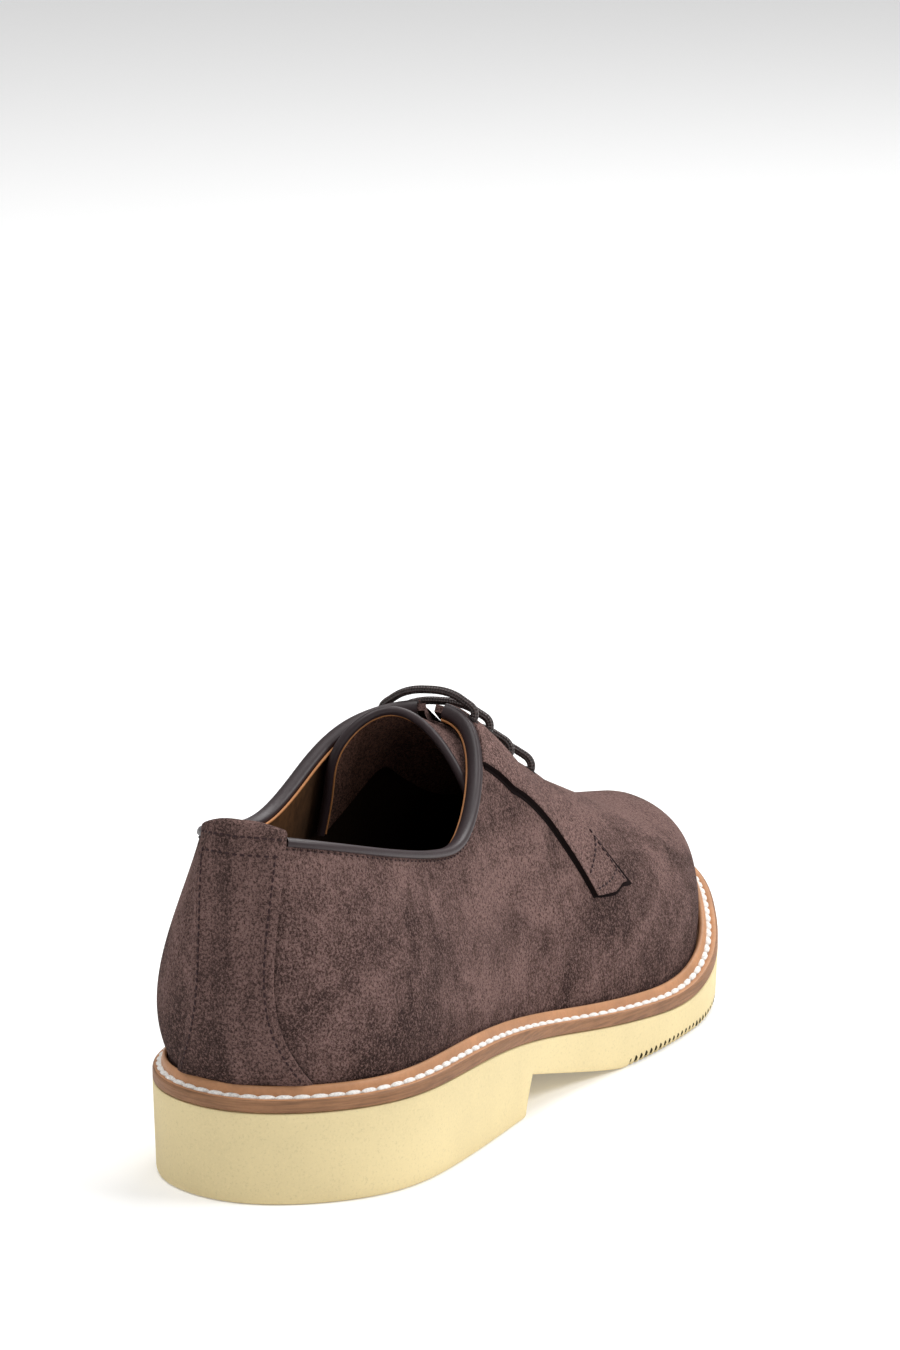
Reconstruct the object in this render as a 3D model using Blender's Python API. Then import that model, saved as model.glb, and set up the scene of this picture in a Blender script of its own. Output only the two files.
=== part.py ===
"""Right suede derby shoe: a hollow suede upper on a tan storm welt and a cream foam sole.

+Y points to the toe, +X to the outer side of the foot and +Z up. The origin lies on the
floor under the middle of the heel.
"""

import functools
import math

import bmesh
import bpy
import numpy as np

# Sole, in metres
OUTSOLE_LENGTH = 0.300
HEEL_WIDTH = 0.084
WAIST_WIDTH = 0.076
BALL_WIDTH = 0.099
HEEL_CENTRE = 0.040
FOAM_AT_HEEL = 0.0265
FOAM_AT_BALL = 0.0110
FOAM_AT_TOE = 0.0145
TOE_SPRING = 0.0135
HEEL_BREAST = 0.1075
BREAST_RAKE = 0.0055
ARCH_RISE = 0.0115
TREAD_START = 0.166
SPRING_START = 0.214
EDGE_TAPER = 0.0007
EDGE_ROUND = 0.0007

# Welt, measured inwards from the edge of the sole
WELT_THICKNESS = 0.0035
WELT_WIDTH = 0.0105
STITCH_INSET = 0.0032
GROOVE_DEPTH = 0.0007
GROOVE_WIDTH = 0.0018
BEAD_HEIGHT = 0.0030
BEAD_WIDTH = 0.0026
FEATHER_INSET = 0.0064

# Upper and what lies on it
WALL = 0.0022
INSTEP_HEIGHT = 0.1130
COLLAR_HEIGHT = 0.1020
THROAT_GAP_TOP = 0.0016
THROAT_GAP_LOW = 0.0050
STRAP_THICKNESS = 0.0012
BINDING_WIDTH = 0.0014
BINDING_THICKNESS = 0.0008
BINDING_LAP = 0.0016
HEEL_STRIP_WIDTH = 0.0290
HEEL_TAB_RISE = 0.0050
HEEL_TAB_LAP = 0.0120
HEEL_TAB_ROUND = 0.35
TONGUE_THICKNESS = 0.0024
INSOLE_THICKNESS = 0.0025
LACE_DIAMETER = 0.0024
LACE_ARCH = 0.0004
CLEARANCE = 0.0003
FACET_CLEARANCE = 0.0006

STATIONS_COLLAR = 14
STATIONS_CORNER = 10
STATIONS_THROAT = 9
STATIONS_VAMP = 15
WALL_ROWS = 11
OUTER = 1
INNER = -1


def columns(names, rows):
    """A short table as one array for each named column."""
    return dict(zip(names.split(), np.array(rows, dtype=float).T))


# Reach of the sole's edge to each side of the axis, as shares of the width named in the row.
# The welt is narrower round the inner side of the heel.
SOLE_OUTLINE = columns("along width inner outer inner_welt", (
    (0.030, HEEL_WIDTH, 0.287, 0.277, 0.82),
    (0.100, HEEL_WIDTH, 0.445, 0.467, 0.66),
    (0.200, HEEL_WIDTH, 0.479, 0.519, 0.68),
    (0.320, HEEL_WIDTH, 0.435, 0.513, 0.82),
    (0.440, WAIST_WIDTH, 0.428, 0.570, 0.95),
    (0.560, BALL_WIDTH, 0.370, 0.497, 1.00),
    (0.680, BALL_WIDTH, 0.465, 0.525, 1.00),
    (0.780, BALL_WIDTH, 0.504, 0.493, 1.00),
    (0.870, BALL_WIDTH, 0.459, 0.381, 1.00),
    (0.945, BALL_WIDTH, 0.333, 0.239, 1.00),
))

FOAM_TOP = columns("along size share", (
    (0.00, FOAM_AT_HEEL, 1.000),
    (0.15, FOAM_AT_HEEL, 0.990),
    (0.30, FOAM_AT_HEEL, 0.925),
    (0.50, FOAM_AT_HEEL, 0.597),
    (0.60, FOAM_AT_BALL, 1.130),
    (0.70, FOAM_AT_BALL, 1.000),
    (0.85, FOAM_AT_TOE + TOE_SPRING, 0.714),
    (1.00, FOAM_AT_TOE + TOE_SPRING, 1.000),
))

# Ribs rise from the welt at a share of the length. Each ends at an apex of the last: above the
# collar at the back, on the crest of the instep and the vamp in front. Lean and rise place the
# lower handle of the rib and drop the upper one, as shares of its height; reach is a share of
# its span.
RIBS = columns("along apex_along apex_up drop outer_apex outer_lean outer_rise outer_reach"
               " inner_apex inner_lean inner_rise inner_reach", (
    (0.000, 0.030, 1.060, 0.36, 0.000, 0.10, 0.30, 0.00, 0.000, 0.10, 0.30, 0.00),
    (0.030, 0.042, 1.060, 0.36, 0.125, 0.09, 0.30, 0.00, -0.115, 0.12, 0.30, 0.00),
    (0.100, 0.100, 1.060, 0.36, 0.225, 0.06, 0.30, 0.00, -0.210, 0.13, 0.30, 0.00),
    (0.200, 0.192, 1.060, 0.38, 0.270, 0.03, 0.32, 0.00, -0.275, 0.10, 0.32, 0.00),
    (0.320, 0.312, 1.055, 0.34, 0.255, 0.01, 0.36, 0.05, -0.270, 0.08, 0.36, 0.10),
    (0.400, 0.396, 1.035, 0.12, 0.135, -0.02, 0.50, 0.35, -0.155, 0.05, 0.52, 0.60),
    (0.450, 0.442, 1.000, 0.00, 0.012, -0.03, 0.62, 0.58, 0.012, 0.03, 0.62, 0.84),
    (0.520, 0.500, 0.885, 0.00, 0.010, -0.02, 0.60, 0.58, 0.010, 0.04, 0.60, 0.80),
    (0.600, 0.567, 0.786, 0.00, 0.006, 0.03, 0.52, 0.56, 0.006, 0.05, 0.52, 0.70),
    (0.680, 0.633, 0.711, 0.00, 0.002, 0.06, 0.50, 0.55, 0.002, 0.06, 0.50, 0.60),
    (0.760, 0.697, 0.640, 0.00, 0.000, 0.08, 0.52, 0.54, 0.000, 0.08, 0.52, 0.57),
    (0.840, 0.757, 0.574, 0.00, -0.002, 0.11, 0.56, 0.54, -0.002, 0.11, 0.56, 0.55),
    (0.910, 0.803, 0.540, 0.00, -0.004, 0.15, 0.60, 0.55, -0.004, 0.14, 0.60, 0.55),
    (0.970, 0.838, 0.520, 0.00, -0.008, 0.18, 0.66, 0.55, -0.008, 0.18, 0.66, 0.55),
    (1.000, 0.855, 0.512, 0.00, -0.010, 0.20, 0.70, 0.55, -0.010, 0.20, 0.70, 0.55),
))
CREST_ALONG = 0.320
CORNER_ALONG = 0.450
THROAT_ALONG = 0.600

# Top line of the collar, as shares of the collar's height at the heel
TOPLINE = columns("along inner outer", (
    (0.000, 1.000, 1.000),
    (0.030, 0.995, 0.993),
    (0.100, 0.955, 0.945),
    (0.200, 0.895, 0.868),
    (0.270, 0.880, 0.823),
    (0.320, 0.940, 0.818),
    (0.360, 1.010, 0.868),
    (0.400, 1.070, 0.960),
    (0.420, 1.088, 1.020),
    (0.437, 1.098, 1.072),
    (0.450, 1.104, 1.104),
))

# Facing strip, from the binding down the throat and then down the side of the vamp. Its front
# and back edge lie on a rib (along) at a share of the rib's cut height (up).
FACING_START = 0.417
FACING = columns("front_along front_up back_along back_up", (
    (0.495, 0.981, 0.438, 0.667),
    (0.509, 0.978, 0.446, 0.592),
    (0.526, 0.972, 0.457, 0.520),
    (0.547, 0.955, 0.479, 0.487),
    (0.568, 0.925, 0.503, 0.466),
    (0.583, 0.830, 0.522, 0.417),
    (0.590, 0.640, 0.534, 0.364),
    (0.597, 0.465, 0.542, 0.320),
    (0.617, 0.335, 0.548, 0.283),
))

# Lace holes in plan, from the collar down: along as a share of the length, across as a share of
# the ball's width
EYELETS = columns("along across", (
    (0.441, 0.137),
    (0.467, 0.150),
    (0.509, 0.160),
    (0.553, 0.170),
))

# Half width of the heel strip at shares of the height, as shares of its width at the top
HEEL_STRIP = columns("up half", (
    (0.00, 0.740),
    (0.20, 0.520),
    (0.45, 0.420),
    (0.70, 0.430),
    (0.90, 0.450),
    (1.00, 0.460),
))

# Tongue, from its top edge to its toe end. Each row hangs on a rib of each side from a share of
# it near the throat to a low share of it. Behind the throat the middle of the row has a place of
# its own, as shares of the heel's width, the length and the instep height.
TONGUE = columns("outer_along outer inner_along inner low"
                 " middle_across middle_along middle_up", (
    (0.400, 0.580, 0.365, 0.770, 0.470, -0.070, 0.389, 1.016),
    (0.421, 0.620, 0.391, 0.760, 0.480, -0.060, 0.411, 0.988),
    (0.440, 0.680, 0.419, 0.760, 0.510, -0.040, 0.434, 0.957),
    (0.458, 0.830, 0.448, 0.820, 0.560, 0.000, 0.450, 0.940),
    (0.500, 0.850, 0.498, 0.850, 0.610, 0.000, 0.500, 0.850),
    (0.560, 0.860, 0.560, 0.860, 0.670, 0.000, 0.550, 0.800),
    (0.620, 0.880, 0.620, 0.880, 0.740, 0.000, 0.600, 0.750),
    (0.660, 0.900, 0.660, 0.900, 0.800, 0.000, 0.650, 0.700),
))


def spline(knots, values, x, flat_ends=False):
    """Natural cubic spline through a column of a table, or one with level ends."""
    knots = np.asarray(knots, dtype=float)
    values = np.asarray(values, dtype=float)
    count = len(knots)
    step = np.diff(knots)
    slope = np.diff(values) / step
    matrix = np.eye(count)
    known = np.zeros(count)
    for i in range(1, count - 1):
        matrix[i, i - 1:i + 2] = step[i - 1], 2 * (step[i - 1] + step[i]), step[i]
        known[i] = 6 * (slope[i] - slope[i - 1])
    if flat_ends:
        matrix[0, :2] = 2 * step[0], step[0]
        known[0] = 6 * slope[0]
        matrix[-1, -2:] = step[-1], 2 * step[-1]
        known[-1] = -6 * slope[-1]
    bend = np.linalg.solve(matrix, known)
    x = np.clip(x, knots[0], knots[-1])
    i = np.clip(np.searchsorted(knots, x) - 1, 0, count - 2)
    a = (knots[i + 1] - x) / step[i]
    b = 1 - a
    cubic = ((a ** 3 - a) * bend[i] + (b ** 3 - b) * bend[i + 1]) * step[i] ** 2 / 6
    return a * values[i] + b * values[i + 1] + cubic


def turn_of(along):
    """Turn from the heel (0) to the toe (1) of a share of the length."""
    return np.arccos(1 - 2 * np.asarray(along, dtype=float)) / math.pi


def closed_curve(points, per_span):
    """Smooth closed curve through a loop of points in the plane."""
    points = np.asarray(points, dtype=float)
    count = len(points)
    step = np.linalg.norm(np.roll(points, -1, 0) - points, axis=1) ** 0.7
    slope = (np.roll(points, -1, 0) - points) / step[:, None]
    matrix = np.zeros((count, count))
    for i in range(count):
        matrix[i, i - 1] += step[i - 1]
        matrix[i, i] += 2 * (step[i - 1] + step[i])
        matrix[i, (i + 1) % count] += step[i]
    bend = np.linalg.solve(matrix, 6 * (slope - np.roll(slope, 1, 0)))
    curve = []
    for i in range(count):
        j = (i + 1) % count
        for b in np.arange(per_span) / per_span:
            a = 1 - b
            cubic = ((a ** 3 - a) * bend[i] + (b ** 3 - b) * bend[j]) * step[i] ** 2 / 6
            curve.append(a * points[i] + b * points[j] + cubic)
    return np.array(curve)


def side_outlines():
    """Edge of the sole from the heel to the toe, for the outer and the inner side."""
    rows = SOLE_OUTLINE
    y = rows["along"] * OUTSOLE_LENGTH
    outer = np.stack([rows["outer"] * rows["width"], y], 1)
    inner = np.stack([-rows["inner"] * rows["width"], y], 1)
    toe = [(-0.011 * BALL_WIDTH, OUTSOLE_LENGTH)]
    per_span = 40
    loop = closed_curve(np.concatenate([[(0, 0)], outer, toe, inner[::-1]]), per_span)
    loop = np.roll(loop, -int(np.argmin(loop[:, 1])), axis=0)
    loop[:, 1] = (loop[:, 1] - loop[0, 1]) * OUTSOLE_LENGTH / np.ptp(loop[:, 1])
    half = int(np.argmax(loop[:, 1]))
    return {OUTER: loop[:half + 1], INNER: np.concatenate([loop[half:], loop[:1]])[::-1]}


OUTLINE = side_outlines()
CREST_START = float(turn_of(CREST_ALONG))
CORNER = float(turn_of(CORNER_ALONG))
THROAT = float(turn_of(THROAT_ALONG))


@functools.lru_cache(maxsize=None)
def edge_frame(side, turn):
    """Point of the sole's edge in plan and the direction that leads outwards from it."""
    line = OUTLINE[side]
    if turn in (0, 1):
        return line[0 if turn == 0 else -1], np.array([0.0, -1.0 if turn == 0 else 1.0])
    y = OUTSOLE_LENGTH * (1 - math.cos(math.pi * turn)) / 2
    lengths = np.concatenate([[0], np.cumsum(np.linalg.norm(np.diff(line, axis=0), axis=1))])
    here = np.interp(y, np.maximum.accumulate(line[:, 1]), lengths)
    point, before, after = [
        np.array([np.interp(here + step, lengths, line[:, k]) for k in (0, 1)])
        for step in (0, -0.003, 0.003)]
    along = (after - before) / np.linalg.norm(after - before)
    return point, np.array([along[1], -along[0]]) * side


def edge_point(side, turn, inset):
    """Point of the sole's edge in plan, moved inwards by inset."""
    point, outwards = edge_frame(side, turn)
    return point - outwards * inset


@functools.lru_cache(maxsize=None)
def welt_share(side, turn):
    """Width of the welt as a share of its full width."""
    if side == OUTER:
        return 1.0
    rows = SOLE_OUTLINE
    knots = turn_of(np.concatenate([[0], rows["along"], [1]]))
    return float(spline(knots, np.concatenate([[1], rows["inner_welt"], [1]]), turn))


def foam_top(y):
    """Height of the foam under the welt."""
    heights = FOAM_TOP["size"] * FOAM_TOP["share"]
    return spline(FOAM_TOP["along"], heights, y / OUTSOLE_LENGTH)


def foam_bottom(y):
    """Height of the sole's underside: heel block, breast, arch, tread and toe spring."""
    top_of_breast = HEEL_BREAST + BREAST_RAKE
    if y <= HEEL_BREAST:
        return 0.0
    if y < top_of_breast:
        return ARCH_RISE * ((y - HEEL_BREAST) / BREAST_RAKE) ** 0.8
    if y < TREAD_START:
        return ARCH_RISE * ((TREAD_START - y) / (TREAD_START - top_of_breast)) ** 1.15
    lift = max(0.0, (y - SPRING_START) / (OUTSOLE_LENGTH - SPRING_START))
    return TOE_SPRING * lift ** 1.8


def shelf_height(y):
    """Top of the welt."""
    return foam_top(y) + CLEARANCE + WELT_THICKNESS


def rib_value(name, turn):
    level = not name.endswith("apex")
    return float(spline(turn_of(RIBS["along"]), RIBS[name], turn, flat_ends=level))


@functools.lru_cache(maxsize=None)
def apex(side, turn):
    """Upper end of a rib; both sides share it from the corner to the toe."""
    name = "outer_apex" if side == OUTER or turn >= CORNER else "inner_apex"
    return np.array([
        rib_value(name, turn) * HEEL_WIDTH,
        rib_value("apex_along", turn) * OUTSOLE_LENGTH,
        rib_value("apex_up", turn) * INSTEP_HEIGHT,
    ])


@functools.lru_cache(maxsize=None)
def rib_controls(side, turn):
    """Four control points of a rib, from the top of the welt's bead to its apex."""
    _, outwards = edge_frame(side, turn)
    foot = edge_point(side, turn, FEATHER_INSET * welt_share(side, turn))
    foot = np.array([*foot, shelf_height(foot[1]) + BEAD_HEIGHT])
    end = apex(side, turn)
    height = end[2] - foot[2]
    name = "outer_" if side == OUTER else "inner_"
    lean = rib_value(name + "lean", turn) * height
    rise = rib_value(name + "rise", turn) * height
    low = foot + np.array([*(outwards * lean), rise])
    handle = (foot - end) * rib_value(name + "reach", turn)
    nudge = 0.004
    middle = min(max(turn, nudge), 1 - 6 * nudge)
    ahead, behind = apex(side, middle + nudge), apex(side, middle - nudge)
    crest = float(np.clip((turn - CREST_START) / (CORNER - CREST_START), 0, 1))
    slope = (ahead[2] - behind[2]) / (ahead[1] - behind[1]) * crest
    handle[2] = slope * handle[1] - rib_value("drop", turn) * height
    return np.array([foot, low, end + handle, end])


def rib(side, turn, v):
    """Points of the upper's outer face on one rib; v is 0 at the welt and 1 at the apex."""
    v = np.atleast_1d(np.asarray(v, dtype=float))[:, None]
    c = rib_controls(side, turn)
    return ((1 - v) ** 3 * c[0] + 3 * v * (1 - v) ** 2 * c[1]
            + 3 * v ** 2 * (1 - v) * c[2] + v ** 3 * c[3])


@functools.lru_cache(maxsize=None)
def top_share(side, turn):
    """Where a rib is cut: at the top line of the collar, at the throat, or not at all."""
    if turn >= THROAT:
        return 1.0
    v = np.linspace(0, 1, 161)
    points = rib(side, turn, v)
    if turn < CORNER:
        name = "outer" if side == OUTER else "inner"
        share = spline(turn_of(TOPLINE["along"]), TOPLINE[name], turn)
        return float(np.interp(share * COLLAR_HEIGHT, points[:, 2], v))
    down = (turn - CORNER) / (THROAT - CORNER)
    gap = THROAT_GAP_TOP + (THROAT_GAP_LOW - THROAT_GAP_TOP) * down
    gap *= math.sqrt(max(0.0, 1 - down ** 8))
    away = np.abs(points[:, 0] - points[-1, 0])
    return float(np.interp(-gap, -away, v))


def surface(side, turn, v, offset=0.0):
    """Point of the upper's outer face, moved outwards by offset along the normal there."""
    v = min(max(v, 0.0), 1.0)
    nudge = 0.004
    near, far = max(0.0, v - nudge), min(1.0, v + nudge)
    point = rib(side, turn, v)[0]
    if not offset:
        return point
    up = rib(side, turn, far)[0] - rib(side, turn, near)[0]
    before, after = max(0.0, turn - nudge), min(1.0, turn + nudge)
    ahead = rib(side, after, v)[0] - rib(side, before, v)[0]
    if turn in (0, 1):
        ahead = np.array([side * (1 if turn == 0 else -1), 0.0, 0.0])
    normal = np.cross(ahead, up) * side
    if v == 1 and turn > CORNER:
        normal[0] = 0
    return point + normal / np.linalg.norm(normal) * offset


def share_below(side, turn, distance, top=None):
    """Share of a rib that lies a distance below its top edge."""
    top = top_share(side, turn) if top is None else top
    v = np.linspace(0, top, 81)
    steps = np.linalg.norm(np.diff(rib(side, turn, v), axis=0), axis=1)
    below = np.concatenate([np.cumsum(steps[::-1])[::-1], [0]])
    return float(np.interp(-distance, -below, v))


def topline_frame(side, turn):
    """Point of the top line, the direction along it and the one square to it, downwards."""
    nudge = 0.003
    before, after = max(0.0, turn - nudge), min(CORNER, turn + nudge)
    points = [rib(side, t, top_share(side, t))[0] for t in (before, turn, after)]
    along = (points[2] - points[0]) / np.linalg.norm(points[2] - points[0])
    outwards = surface(side, turn, top_share(side, turn), nudge) - points[1]
    down = np.cross(along, outwards) * side
    return points[1], along, down / np.linalg.norm(down)


def below_topline(side, turn, distance):
    """Turn and share of the point a distance below the top line, square to it."""
    edge, along, down = topline_frame(side, turn)
    nudge = 0.002
    here = np.array([turn, top_share(side, turn)])
    for _ in range(6):
        t, v = here
        away = rib(side, t, v)[0] - edge
        by_turn = (rib(side, t + nudge, v)[0] - rib(side, t - nudge, v)[0]) / (2 * nudge)
        by_share = (rib(side, t, v)[0] - rib(side, t, v - nudge)[0]) / nudge
        slopes = [[by_turn @ along, by_share @ along], [by_turn @ down, by_share @ down]]
        here = here - np.linalg.solve(slopes, [away @ along, away @ down - distance])
    return float(here[0]), float(here[1])


def lapped(side, turn, profile):
    """Closed section over the top line: pairs of distance below it and outward offset."""
    _, _, down = topline_frame(side, turn)
    section = []
    for distance, offset in profile:
        here, v = below_topline(side, turn, max(distance, 0.0))
        section.append(surface(side, here, v, offset) + down * min(distance, 0.0))
    return section


def on_surface(side, x, y):
    """Turn and share of the point of the instep that lies over a place in plan."""
    wanted = np.array([x, y])
    guesses = [(t, v) for t in np.linspace(0.40, 0.62, 23) for v in np.linspace(0.6, 1, 17)]
    here = np.array(min(guesses, key=lambda g: np.linalg.norm(rib(side, *g)[0][:2] - wanted)))
    nudge = 0.002
    for _ in range(4):
        t, v = here
        away = rib(side, t, v)[0][:2] - wanted
        by_turn = (rib(side, t + nudge, v)[0] - rib(side, t - nudge, v)[0])[:2] / (2 * nudge)
        by_share = (rib(side, t, v)[0] - rib(side, t, v - nudge)[0])[:2] / nudge
        here = here - np.linalg.solve(np.stack([by_turn, by_share], 1), away)
    return float(here[0]), float(here[1])


def turn_beside(side, distance, v):
    """Turn whose rib lies a distance from the middle of the heel at a share of the height."""
    turns = np.linspace(0, 0.22, 45)
    line = np.array([rib(side, t, v)[0] for t in turns])
    steps = np.linalg.norm(np.diff(line, axis=0), axis=1)
    return float(np.interp(distance, np.concatenate([[0], np.cumsum(steps)]), turns))


def finish(name, mesh, colour, roughness):
    """Object and material for a finished closed mesh."""
    bmesh.ops.remove_doubles(mesh, verts=mesh.verts, dist=1e-6)
    bmesh.ops.recalc_face_normals(mesh, faces=mesh.faces)
    data = bpy.data.meshes.new(name)
    mesh.to_mesh(data)
    mesh.free()
    data.shade_smooth()
    data.set_sharp_from_angle(angle=math.radians(35))
    return add_object(name, data, colour, roughness)


def add_object(name, data, colour, roughness):
    material = bpy.data.materials.new(name)
    material.use_nodes = True
    shader = material.node_tree.nodes["Principled BSDF"]
    shader.inputs["Base Color"].default_value = (*colour, 1.0)
    shader.inputs["Roughness"].default_value = roughness
    shader.inputs["Metallic"].default_value = 0.0
    data.materials.append(material)
    piece = bpy.data.objects.new(name, data)
    piece.location = (0, -HEEL_CENTRE, 0)
    bpy.data.collections["suede_derby_shoe"].objects.link(piece)
    return piece


def loft(sections, closed=False):
    """Solid through closed sections; unless it closes, its ends are capped by ladders of
    faces between the first and the second half of the section."""
    mesh = bmesh.new()
    rings = [[mesh.verts.new(p) for p in section] for section in sections]
    count = len(rings[0])
    pairs = list(zip(rings, rings[1:] + rings[:1])) if closed else list(zip(rings, rings[1:]))
    for low, high in pairs:
        for i in range(count):
            j = (i + 1) % count
            mesh.faces.new((low[i], low[j], high[j], high[i]))
    if not closed:
        for ring in (rings[0], rings[-1]):
            for i in range(count // 2 - 1):
                mesh.faces.new((ring[i], ring[i + 1], ring[-i - 2], ring[-i - 1]))
    return mesh


def slab(top, bottom):
    """Solid between two grids of points of equal size."""
    mesh = bmesh.new()
    grids = [[[mesh.verts.new(p) for p in row] for row in grid] for grid in (top, bottom)]
    rows, across = len(top), len(top[0])
    for grid in grids:
        for r in range(rows - 1):
            for c in range(across - 1):
                mesh.faces.new((grid[r][c], grid[r][c + 1], grid[r + 1][c + 1], grid[r + 1][c]))
    rim = ([(0, c) for c in range(across)] + [(r, across - 1) for r in range(1, rows)]
           + [(rows - 1, c) for c in range(across - 2, -1, -1)]
           + [(r, 0) for r in range(rows - 2, 0, -1)])
    for (r, c), (s, d) in zip(rim, rim[1:] + rim[:1]):
        mesh.faces.new((grids[0][r][c], grids[0][s][d], grids[1][s][d], grids[1][r][c]))
    return mesh


def around(stations, inset, height, on_welt=True):
    """Ring of points round the sole, at an inset from its edge."""
    walk = [(OUTER, t) for t in stations] + [(INNER, t) for t in stations[-2:0:-1]]
    ring = []
    for side, turn in walk:
        scale = welt_share(side, turn) if on_welt else 1.0
        point = edge_point(side, turn, inset * scale)
        ring.append((point[0], point[1], height(point[1])))
    return ring


def stack(rings):
    """Solid of rings one above the other, closed below and above by strips across it."""
    mesh = bmesh.new()
    layers = [[mesh.verts.new(p) for p in ring] for ring in rings]
    count = len(rings[0])
    for low, high in zip(layers, layers[1:]):
        for i in range(count):
            j = (i + 1) % count
            mesh.faces.new((low[i], low[j], high[j], high[i]))
    for layer in (layers[0], layers[-1]):
        for i in range(count // 2):
            face = [layer[i], layer[i + 1], layer[-i - 1], layer[-i % count]]
            mesh.faces.new(list(dict.fromkeys(face)))
    return mesh


def sole_stations():
    """Turns round the sole, with rows at the corners of the breast."""
    rows = set(np.round(np.linspace(0, 1, 45), 5))
    breast = [HEEL_BREAST + BREAST_RAKE * share for share in (0, 0.25, 0.6, 1)]
    special = [float(turn_of(y / OUTSOLE_LENGTH)) for y in (*breast, TREAD_START)]
    near = 0.008
    rows = {r for r in rows if min(abs(r - s) for s in special) > near}
    return sorted(rows | set(special))


def make_outsole():
    stations = sole_stations()
    rings = [
        around(stations, EDGE_TAPER + EDGE_ROUND, foam_bottom, on_welt=False),
        around(stations, EDGE_TAPER, lambda y: foam_bottom(y) + EDGE_ROUND, on_welt=False),
        around(stations, 0.0, lambda y: foam_top(y) - EDGE_ROUND, on_welt=False),
        around(stations, EDGE_ROUND / 2, foam_top, on_welt=False),
    ]
    return finish("outsole", stack(rings), (0.78, 0.69, 0.39), 0.8)


def welt_profile():
    """Inset and height of the welt's section: edge, flat, stitch groove, bead and shelf."""
    t = WELT_THICKNESS
    bead_outside = FEATHER_INSET - FACET_CLEARANCE - BEAD_WIDTH
    bead_inside = FEATHER_INSET - FACET_CLEARANCE
    return [
        (0.0002, 0.0), (0.0, t - 0.0006), (0.0006, t),
        (STITCH_INSET - GROOVE_WIDTH / 2, t), (STITCH_INSET, t - GROOVE_DEPTH),
        (bead_outside, t), (bead_outside + BEAD_WIDTH * 0.12, t + BEAD_HEIGHT * 0.66),
        (bead_outside + BEAD_WIDTH * 0.45, t + BEAD_HEIGHT),
        (bead_outside + BEAD_WIDTH * 0.80, t + BEAD_HEIGHT * 0.90),
        (bead_inside, t + BEAD_HEIGHT * 0.55), (bead_inside, t),
        (WELT_WIDTH, t), (WELT_WIDTH, 0.0),
    ]


def make_welt():
    stations = list(np.linspace(0, 1, 39))
    rings = [around(stations, inset, lambda y, h=height: foam_top(y) + CLEARANCE + h)
             for inset, height in welt_profile()]
    return finish("welt", loft(rings, closed=True), (0.47, 0.25, 0.13), 0.55)


def make_insole():
    stations = list(np.linspace(0, 1, 39))
    inset = WELT_WIDTH + FACET_CLEARANCE
    rings = [around(stations, inset, lambda y: foam_top(y) + CLEARANCE),
             around(stations, inset, lambda y: foam_top(y) + CLEARANCE + INSOLE_THICKNESS)]
    return finish("insole", stack(rings), (0.45, 0.26, 0.14), 0.6)


def upper_stations():
    down = 1 - (1 - np.linspace(0, 1, STATIONS_THROAT + 1)) ** 1.5
    start = 0.36
    near = start + (CORNER - start) * (1 - (1 - np.linspace(0, 1, STATIONS_CORNER + 1)) ** 1.5)
    return [float(t) for t in (*np.linspace(0, start, STATIONS_COLLAR + 1)[:-1], *near[:-1],
                               *(CORNER + (THROAT - CORNER) * down)[:-1],
                               *np.linspace(THROAT, 1, STATIONS_VAMP + 1))]


def make_upper():
    """The wall as a sheet from the welt to the top edge with a second one inside it."""
    mesh = bmesh.new()
    inner_point = mesh.verts.layers.float_vector.new("inner_point")
    for side in (OUTER, INNER):
        ribs = []
        for turn in upper_stations():
            line = []
            for v in top_share(side, turn) * np.linspace(0, 1, WALL_ROWS):
                line.append((surface(side, turn, v), surface(side, turn, v, -WALL)))
            drop = np.array([0, 0, BEAD_HEIGHT - CLEARANCE])
            line[0:0] = [(line[0][0] - drop, (*line[0][1][:2], line[0][0][2] - drop[2]))]
            ribs.append([mesh.verts.new(outside) for outside, _ in line])
            for vertex, (_, inside) in zip(ribs[-1], line):
                vertex[inner_point] = inside
        for a, b in zip(ribs, ribs[1:]):
            for i in range(WALL_ROWS):
                corners = (a[i], b[i], b[i + 1], a[i + 1])
                mesh.faces.new(corners if side == OUTER else corners[::-1])
    bmesh.ops.remove_doubles(mesh, verts=mesh.verts, dist=1e-5)
    rim = [edge for edge in mesh.edges if edge.is_boundary]
    copy = bmesh.ops.duplicate(mesh, geom=[*mesh.verts, *mesh.edges, *mesh.faces])
    twin = copy["vert_map"]
    for vertex in copy["geom"]:
        if isinstance(vertex, bmesh.types.BMVert):
            vertex.co = vertex[inner_point]
    for edge in rim:
        a, b = edge.verts
        mesh.faces.new((a, b, twin[b], twin[a]))
    return finish("upper", mesh, (0.11, 0.068, 0.06), 0.95)


def topline_turns(side, first, count):
    """Turns of sections along the top line, closer together towards the corner."""
    turns = np.linspace(first, CORNER - 0.001, 120)
    line = np.array([rib(side, float(t), top_share(side, float(t)))[0] for t in turns])
    lengths = np.concatenate([[0], np.cumsum(np.linalg.norm(np.diff(line, axis=0), axis=1))])
    shares = 1 - (1 - np.linspace(0, 1, count)) ** 1.35
    return [float(t) for t in np.interp(shares * lengths[-1], lengths, turns)]


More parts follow.
